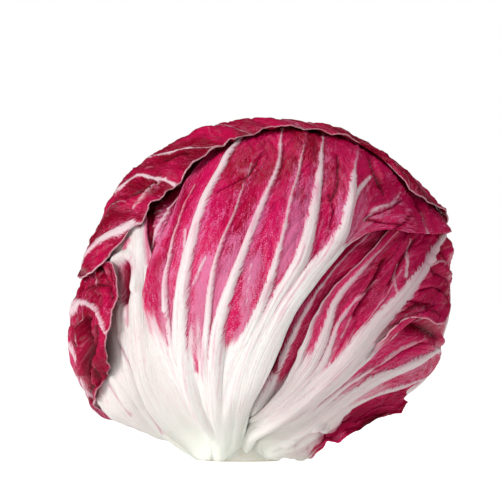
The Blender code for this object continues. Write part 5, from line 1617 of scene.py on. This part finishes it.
class SkinMaker:
    """Makes the shared look of a leaf's skin: where it is white or red, its veins, its painted sheen and
    painted shade, and its fine relief.

    Lengths are in mm: rib is the distance to the nearest rib, inside is how far a place is inside the white
    of a rib or vein, base is how far it is inside the white of the foot, and fan and up are its places across
    and along the leaf.
    """

    def __init__(self) -> None:
        """Makes the node group with its sockets, and reads what it works on."""
        self.tree = bpy.data.node_groups.new("Leaf skin", "ShaderNodeTree")
        for way, kind, names in (
            ("INPUT", "Color", SKIN_COLORS),
            ("INPUT", "Float", (*SKIN_AMOUNTS, "Seed")),
            ("OUTPUT", "Color", ("Color",)),
            ("OUTPUT", "Float", ("Roughness", "Height")),
        ):
            for name in names:
                self.tree.interface.new_socket(name=name, in_out=way, socket_type="NodeSocket" + kind)
        nodes = Nodes(self.tree)
        self.nodes = nodes
        self.given = nodes.outputs("GroupInput")
        marks = nodes.value("Attribute", "Vector", attribute_name="marks")
        self.rib, self.inside, self.base = nodes.outputs("SeparateXYZ", {0: marks}).values()
        spot = nodes.value("UVMap", uv_map="leaf")
        self.fan, self.up, _ = nodes.outputs("SeparateXYZ", {0: spot}).values()
        self.frayed, self.glossy, self.shade = (
            nodes.value("Attribute", "Fac", attribute_name=name) for name in ("frayed", "painted_sheen", "shade")
        )
        self.slope = self.up - self.rib * QUILT_SLOPE
        self.thread = self.along_leaf(Pattern.THREAD)
        self.cross = self.along_barbs(Pattern.CROSS)

    def along_leaf(self, pattern: Pattern) -> Value:
        """A noise that is stretched along the leaf."""
        return pattern.over(self.fan, self.up, self.given["Seed"])

    def along_barbs(self, pattern: Pattern) -> Value:
        """A noise that is stretched outwards and up from each rib."""
        return pattern.over(self.slope, self.fan, self.given["Seed"])

    def white(self) -> Value:
        """Where the skin is white: on the ribs, frayed by barbs, and on the foot, ending in long streaks."""
        barb = self.along_barbs(Pattern.BARB).about(self.given["Barbs"])
        fringe = barb + self.along_leaf(Pattern.FIBRE).about(FIBRE_FRAY)
        rib_white = (self.inside + fringe * self.frayed).step(*RIB_WHITE)
        streak = self.along_leaf(Pattern.STREAK).about(self.given["Streaks"])
        return rib_white.larger((self.base + streak + fringe * FOOT_FRAY).step(*FOOT_WHITE))

    def veins(self) -> Value:
        """Fine veins: some along the leaf, others leaving the ribs."""
        long_line = self.along_leaf(Pattern.LONG_VEIN).line(LONG_VEIN_WIDTH)
        side_line = self.along_barbs(Pattern.SIDE_VEIN).line(SIDE_VEIN_WIDTH)
        patchy = self.along_leaf(Pattern.PATCH).step(*VEIN_PATCHES)
        return long_line.larger(side_line) * patchy * self.given["Veining"]

    def blade(self, veins: Value) -> Value:
        """The colour of the blade: dark to bright crimson, with painted sheen and fine veins."""
        given, base, mix = self.given, self.base, self.nodes.mix
        speck = self.along_leaf(Pattern.SPECK).about(SPECK_TONE)
        fine = self.thread.about(THREAD_TONE) + self.cross.about(CROSS_TONE) + speck
        tone = self.along_leaf(Pattern.BROAD).step(*BROAD_TONE) + base.step(*FOOT_TONE) + fine
        color = mix(tone.step(0, 1), given["Dark"], given["Red"])
        # Painted sheen: a paler pink mixed in where a gleam noise, the fine grain, the ribs, the foot and the
        # sheen patches add up high, and less where painted shade lies.
        near = abs(self.inside + RIB_GLEAM_MM).step(*RIB_GLEAM) + base.step(*FOOT_GLEAM)
        gleam = self.along_leaf(Pattern.GLEAM) + fine * FINE_GLEAM + near
        gleam = gleam + (self.glossy * SHEEN_PATCH_GLEAM - self.shade)
        shine = gleam.step(*SHINE) * given["Sheen"]
        color = mix(shine, color, mix(base.step(*PINKER_SHINE), given["Painted_sheen"], given["Tinge"]))
        return mix(veins, color, given["Tinge"])

    def flesh(self, above: Value, groove: Value) -> Value:
        """The colour of the white: pink at its edges and in its furrows, greenish near the stem, and pinker
        under painted shade.
        """
        given, base, mix = self.given, self.base, self.nodes.mix
        blush = self.along_leaf(Pattern.FURROW).step(*PINK_FURROWS) * base.step(*PINK_UP_LEAF)
        blush = blush + self.along_leaf(Pattern.GRAIN).step(*PINK_GRAIN) * above
        edge = (self.inside * RIB_EDGE).larger(base * FOOT_EDGE).step(*PINK_EDGE)
        color = mix(blush.larger(edge), given["Flesh"], given["Tinge"])
        color = mix(base.step(*PINK_UP_WHITE), color, given["Tinge"])
        color = mix(self.up.step(*GREEN_FOOT), color, given["Green"])
        color = mix(groove * GREEN_GROOVE, color, given["Green"])
        return mix(self.shade * PINK_SHADE, color, given["Tinge"])

    def relief(self, white: Value, veins: Value, above: Value, groove: Value) -> Value:
        """The fine relief: furrows along the white, threads and a net of veins on the blade."""
        nodes = self.nodes
        wide, long = NET_PITCHES
        at = nodes.value("CombineXYZ", 0, {0: self.fan / wide, 1: self.up / long, 2: self.given["Seed"]})
        net = nodes.value("TexVoronoi", "Distance", {"Vector": at, "Scale": 1.0}, feature="DISTANCE_TO_EDGE")
        wrinkle = net.step(*NET_LINES) * NET_HEIGHT + self.thread * THREAD_HEIGHT
        wrinkle = wrinkle + self.cross * CROSS_HEIGHT + veins * VEIN_HEIGHT
        lengthwise = self.along_leaf(Pattern.LENGTHWISE) - groove * GROOVE_DEPTH
        furrows = lengthwise * (above * (1 - STEM_FURROWS) + STEM_FURROWS)
        return nodes.between(white, wrinkle, furrows + WHITE_HEIGHT)

    def make(self) -> bpy.types.NodeTree:
        """Puts the colour, the roughness and the relief together."""
        nodes = self.nodes
        white = self.white()
        veins = self.veins()
        above = self.up.step(*ABOVE_STEM)
        groove = self.rib.step(*GROOVE) * self.inside.step(*GROOVED_WHITE)
        color = nodes.mix(white, self.blade(veins), self.flesh(above, groove))
        # Painted shade multiplies the shade colour in: much on the red, little on the white.
        painted_shade = self.shade * white.step(*SHADE_DEPTH)
        threads = self.thread.about(THREAD_ROUGHNESS)
        nodes.add("GroupOutput", {
            "Color": nodes.mix(painted_shade, color, self.given["Shade"], "MULTIPLY"),
            "Roughness": nodes.between(white, threads, WHITE_ROUGHNESS) + ROUGHNESS,
            "Height": self.relief(white, veins, above, groove),
        })
        return self.tree


def new_material(name: str) -> tuple[bpy.types.Material, Nodes, bpy.types.Node]:
    """A new material, what adds its nodes, and its shader."""
    made = bpy.data.materials.new(name)
    made.use_nodes = True
    return made, Nodes(made.node_tree), made.node_tree.nodes["Principled BSDF"]


# How far light goes into the flesh of leaves and stem.
FLESH_GLOW = 0.12
FLESH_DEPTH = 0.0015


@dataclass(frozen=True)
class Skin:
    """A leaf's look: its colours, those of its painted sheen and painted shade among them, and how strong
    its barbs, streaks, veins and painted sheen are.
    """

    red: tuple = linear(206, 14, 88)
    dark: tuple = linear(154, 0, 40)
    # The colour of the painted sheen.
    painted_sheen: tuple = linear(224, 120, 172)
    flesh: tuple = linear(240, 236, 232)
    # The greyed pink that the white of the leaves on the right side takes: partly its own pink, partly
    # painted shade.
    blush: tuple = linear(198, 162, 168)
    tinge: tuple = linear(216, 148, 172)
    green: tuple = linear(240, 242, 233)
    # The colour that painted shade multiplies in.
    shade: tuple = linear(116, 36, 56)
    barbs: float = 1.7
    streaks: float = 26.0
    veining: float = 0.25
    # How strong the painted sheen is.
    sheen: float = 0.72
    bump: float = 0.7
    bump_metres: float = 0.0005
    gloss: float = 0.1
    glow_reach: tuple[float, float, float] = (1.0, 0.35, 0.3)

    def make(self, name: str, group: bpy.types.NodeTree, seed: float) -> bpy.types.Material:
        """The material of one leaf.

        Args:
            name: the material's name.
            group: the shared skin.
            seed: which of many like patterns the leaf has.

        Returns:
            The material.
        """
        made, nodes, shader = new_material(name)
        given = {socket: getattr(self, socket.lower()) for socket in SKIN_COLORS + SKIN_AMOUNTS}
        skin = nodes.outputs("Group", {**given, "Seed": seed}, node_tree=group)
        relief = {"Height": skin["Height"], "Strength": self.bump, "Distance": self.bump_metres}
        nodes.fill(shader, {
            "Base Color": skin["Color"],
            "Roughness": skin["Roughness"],
            "Normal": nodes.value("Bump", 0, relief),
            "Specular IOR Level": self.gloss,
            "Subsurface Weight": FLESH_GLOW,
            "Subsurface Radius": self.glow_reach,
            "Subsurface Scale": FLESH_DEPTH,
        })
        return made


# The cut face of the stem, in mm: the ring of bundles starts and ends softly, the browned rim starts softly,
# and both fade up from the face. The dots of the ring are the middles of small cells.
RING_START_MM = (6.2, 7.2)
RING_END_MM = (9.6, 8.6)
RING_FADE_MM = (0.25, 0.05)
RIM_START_MM = (10.8, 12.3)
RIM_FADE_MM = (0.5, 0.1)
BUNDLE_DOTS = (0.55, 0.25)
BUNDLE_SHARE = 0.7
RIM_SHARE = 0.5
MOTTLES = (0.35, 0.7)
MOTTLES_PER_MM = 0.5
GRAINS_PER_MM = 2.2
BUNDLES_PER_MM = 0.55
STEM_ROUGHNESS = 0.5
STEM_BUMP = 0.4
STEM_BUMP_METRES = 0.0003


def stem_material() -> bpy.types.Material:
    """The stem: creamy flesh, and on its cut face a ring of pale bundles and a browned rim."""
    made, nodes, shader = new_material("Cut stem")
    metres = nodes.value("TexCoord", "Object")
    places = nodes.value("VectorMath", 0, {0: metres, 3: 1 / MM}, operation="SCALE")
    x, y, z = nodes.outputs("SeparateXYZ", {0: places}).values()
    out = nodes.math("SQRT", x * x + y * y)
    mottled = nodes.value("TexNoise", 0, {"Vector": places, "Scale": MOTTLES_PER_MM, "Detail": 4})
    grain = nodes.value("TexNoise", 0, {"Vector": places, "Scale": GRAINS_PER_MM, "Detail": 3})
    cell = nodes.value("TexVoronoi", "Distance", {"Vector": places, "Scale": BUNDLES_PER_MM})
    color = nodes.mix(mottled.step(*MOTTLES), linear(240, 238, 230), linear(233, 231, 216))
    ring = out.step(*RING_START_MM) * out.step(*RING_END_MM)
    bundles = ring * cell.step(*BUNDLE_DOTS) * z.step(*RING_FADE_MM)
    color = nodes.mix(bundles * BUNDLE_SHARE, color, linear(206, 206, 164))
    rim = out.step(*RIM_START_MM) * z.step(*RIM_FADE_MM)
    color = nodes.mix(rim * RIM_SHARE, color, linear(196, 170, 128))
    relief = {"Height": grain, "Strength": STEM_BUMP, "Distance": STEM_BUMP_METRES}
    nodes.fill(shader, {
        "Base Color": color,
        "Normal": nodes.value("Bump", 0, relief),
        "Roughness": STEM_ROUGHNESS,
        "Subsurface Weight": FLESH_GLOW,
        "Subsurface Scale": FLESH_DEPTH,
    })
    return made


@dataclass(frozen=True)
class Studio:
    """The plain floor, the soft lights and the camera, at the photograph's framing.

    Lengths are in metres, and the camera's sensor is in mm.

    view_width, view_right, view_height: how wide the view is at the head, and where its middle is.
    floor_glow: how much the floor shines by itself, first for the other surfaces, then for the camera.
    ambient: how bright the white surrounding is where it lights the head; the camera sees it in full.
    mirrored: the share of that which shiny surfaces mirror.
    lights: each one's name, place, size and power.
    """

    distance: float = 3.0
    view_width: float = 500 * PIXEL
    view_right: float = 8 * PIXEL
    view_height: float = 211 * PIXEL
    sensor: float = 36.0
    floor_half: float = 8.0
    floor_color: tuple = (0.9, 0.9, 0.9, 1)
    floor_gloss: float = 0.16
    floor_roughness: float = 0.06
    floor_glow: tuple[float, float] = (0.28, 0.85)
    far: float = 40.0
    ambient: float = 0.29
    mirrored: float = 0.2
    lights: tuple = (
        ("Key", (-1.3, -1.1, 0.65), 0.7, 21.5),
        ("Fill", (1.2, -1.1, 0.3), 0.9, 1.8),
        ("Top", (0.1, 0.1, 1.5), 0.9, 6.5),
    )

    def camera(self) -> None:
        """Sets the camera level, in front of the head."""
        data = bpy.data.cameras.new("Camera")
        data.sensor_width = self.sensor
        data.lens = self.sensor * self.distance / self.view_width
        data.clip_end = self.far
        eye = bpy.data.objects.new("Camera", data)
        eye.location = (self.view_right, -self.distance, self.view_height)
        eye.rotation_euler = (math.pi / 2, 0, 0)
        bpy.context.scene.collection.objects.link(eye)
        bpy.context.scene.camera = eye

    def light(self) -> None:
        """Sets the soft lights round the head, and a white surrounding."""
        for name, spot, size, power in self.lights:
            data = bpy.data.lights.new(name, "AREA")
            data.size = size
            data.energy = power
            lamp = bpy.data.objects.new(name, data)
            lamp.location = spot
            aim = Vector(HEAD_CENTRE_MM * MM) - Vector(spot)
            lamp.rotation_euler = aim.to_track_quat("-Z", "Y").to_euler()
            bpy.context.scene.collection.objects.link(lamp)
        world = bpy.data.worlds.new("White surrounding")
        bpy.context.scene.world = world
        world.use_nodes = True
        nodes = Nodes(world.node_tree)
        rays = nodes.outputs("LightPath")
        seen = rays["Is Camera Ray"].step(0, 1, self.ambient, 1)
        mirrored = rays["Is Glossy Ray"].step(0, 1, 1, self.mirrored)
        back = world.node_tree.nodes["Background"]
        nodes.fill(back, {"Color": (1, 1, 1, 1), "Strength": seen * mirrored})
        bpy.context.scene.view_settings.view_transform = "Standard"

    def floor(self) -> None:
        """Lays a plain white floor with a faint gloss."""
        shape = bmesh.new()
        bmesh.ops.create_grid(shape, x_segments=1, y_segments=1, size=self.floor_half)
        mesh = to_mesh(shape, "floor")
        floor = new_piece("floor", mesh)
        made, nodes, shader = new_material("Plain floor")
        made.node_tree.nodes.remove(shader)
        matt = nodes.value("BsdfDiffuse", 0, {"Color": self.floor_color})
        gloss = nodes.value("BsdfGlossy", 0, {"Color": (1, 1, 1, 1), "Roughness": self.floor_roughness})
        glowing = nodes.value("LightPath", "Is Camera Ray").step(0, 1, *self.floor_glow)
        glow = nodes.value("Emission", 0, {"Strength": glowing})
        both = nodes.value("MixShader", 0, {0: self.floor_gloss, 1: matt, 2: gloss})
        lit = nodes.value("AddShader", 0, {0: both, 1: glow})
        nodes.fill(made.node_tree.nodes["Material Output"], {"Surface": lit})
        mesh.materials.append(made)


def finish_piece(piece: bpy.types.Object, node: str, material: bpy.types.Material) -> None:
    """Gives a piece its material and its place in the frame, and reports it."""
    piece.data.materials.append(material)
    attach(piece, BODY)
    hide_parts(node)
    LOG.info("%s replaces %s with %d faces", piece.name, node, len(piece.data.polygons))


def main() -> None:
    """Builds the head from the inside out, then the studio round it."""
    logging.basicConfig(level=logging.INFO, format="%(message)s")
    skins = {
        Slot.HEART: Skin(red=linear(190, 14, 74), dark=linear(120, 0, 30), streaks=10.0),
        Slot.RED: Skin(red=linear(194, 14, 76), dark=linear(128, 0, 30), sheen=0.4, streaks=14.0),
        Slot.RIBBED: Skin(),
        Slot.PALE: Skin(flesh=linear(232, 226, 222), streaks=12.0),
    }
    group = SkinMaker().make()
    finish_piece(Stem().build(), "stem", stem_material())
    heart = Heart().build()
    finish_piece(heart, "heart", skins[Slot.HEART].make("Wrapped heart", group, 1.0))
    layers = Layers()
    layers.add(heart)
    for leaf in LEAVES:
        piece = leaf.build(layers)
        skin = skins[leaf.slot]
        # The white of the leaves on the right side is mixed towards the blush colour, partly for its own pink
        # and partly as painted shade.
        flesh = blend(skin.flesh, skin.blush, leaf.blush)
        skin = replace(skin, flesh=flesh, sheen=skin.sheen * leaf.painted_sheen)
        finish_piece(piece, leaf.name, skin.make(piece.name, group, leaf.seed))
        layers.add(piece)
    studio = Studio()
    studio.camera()
    studio.light()
    studio.floor()


if __name__ == "__main__":
    main()
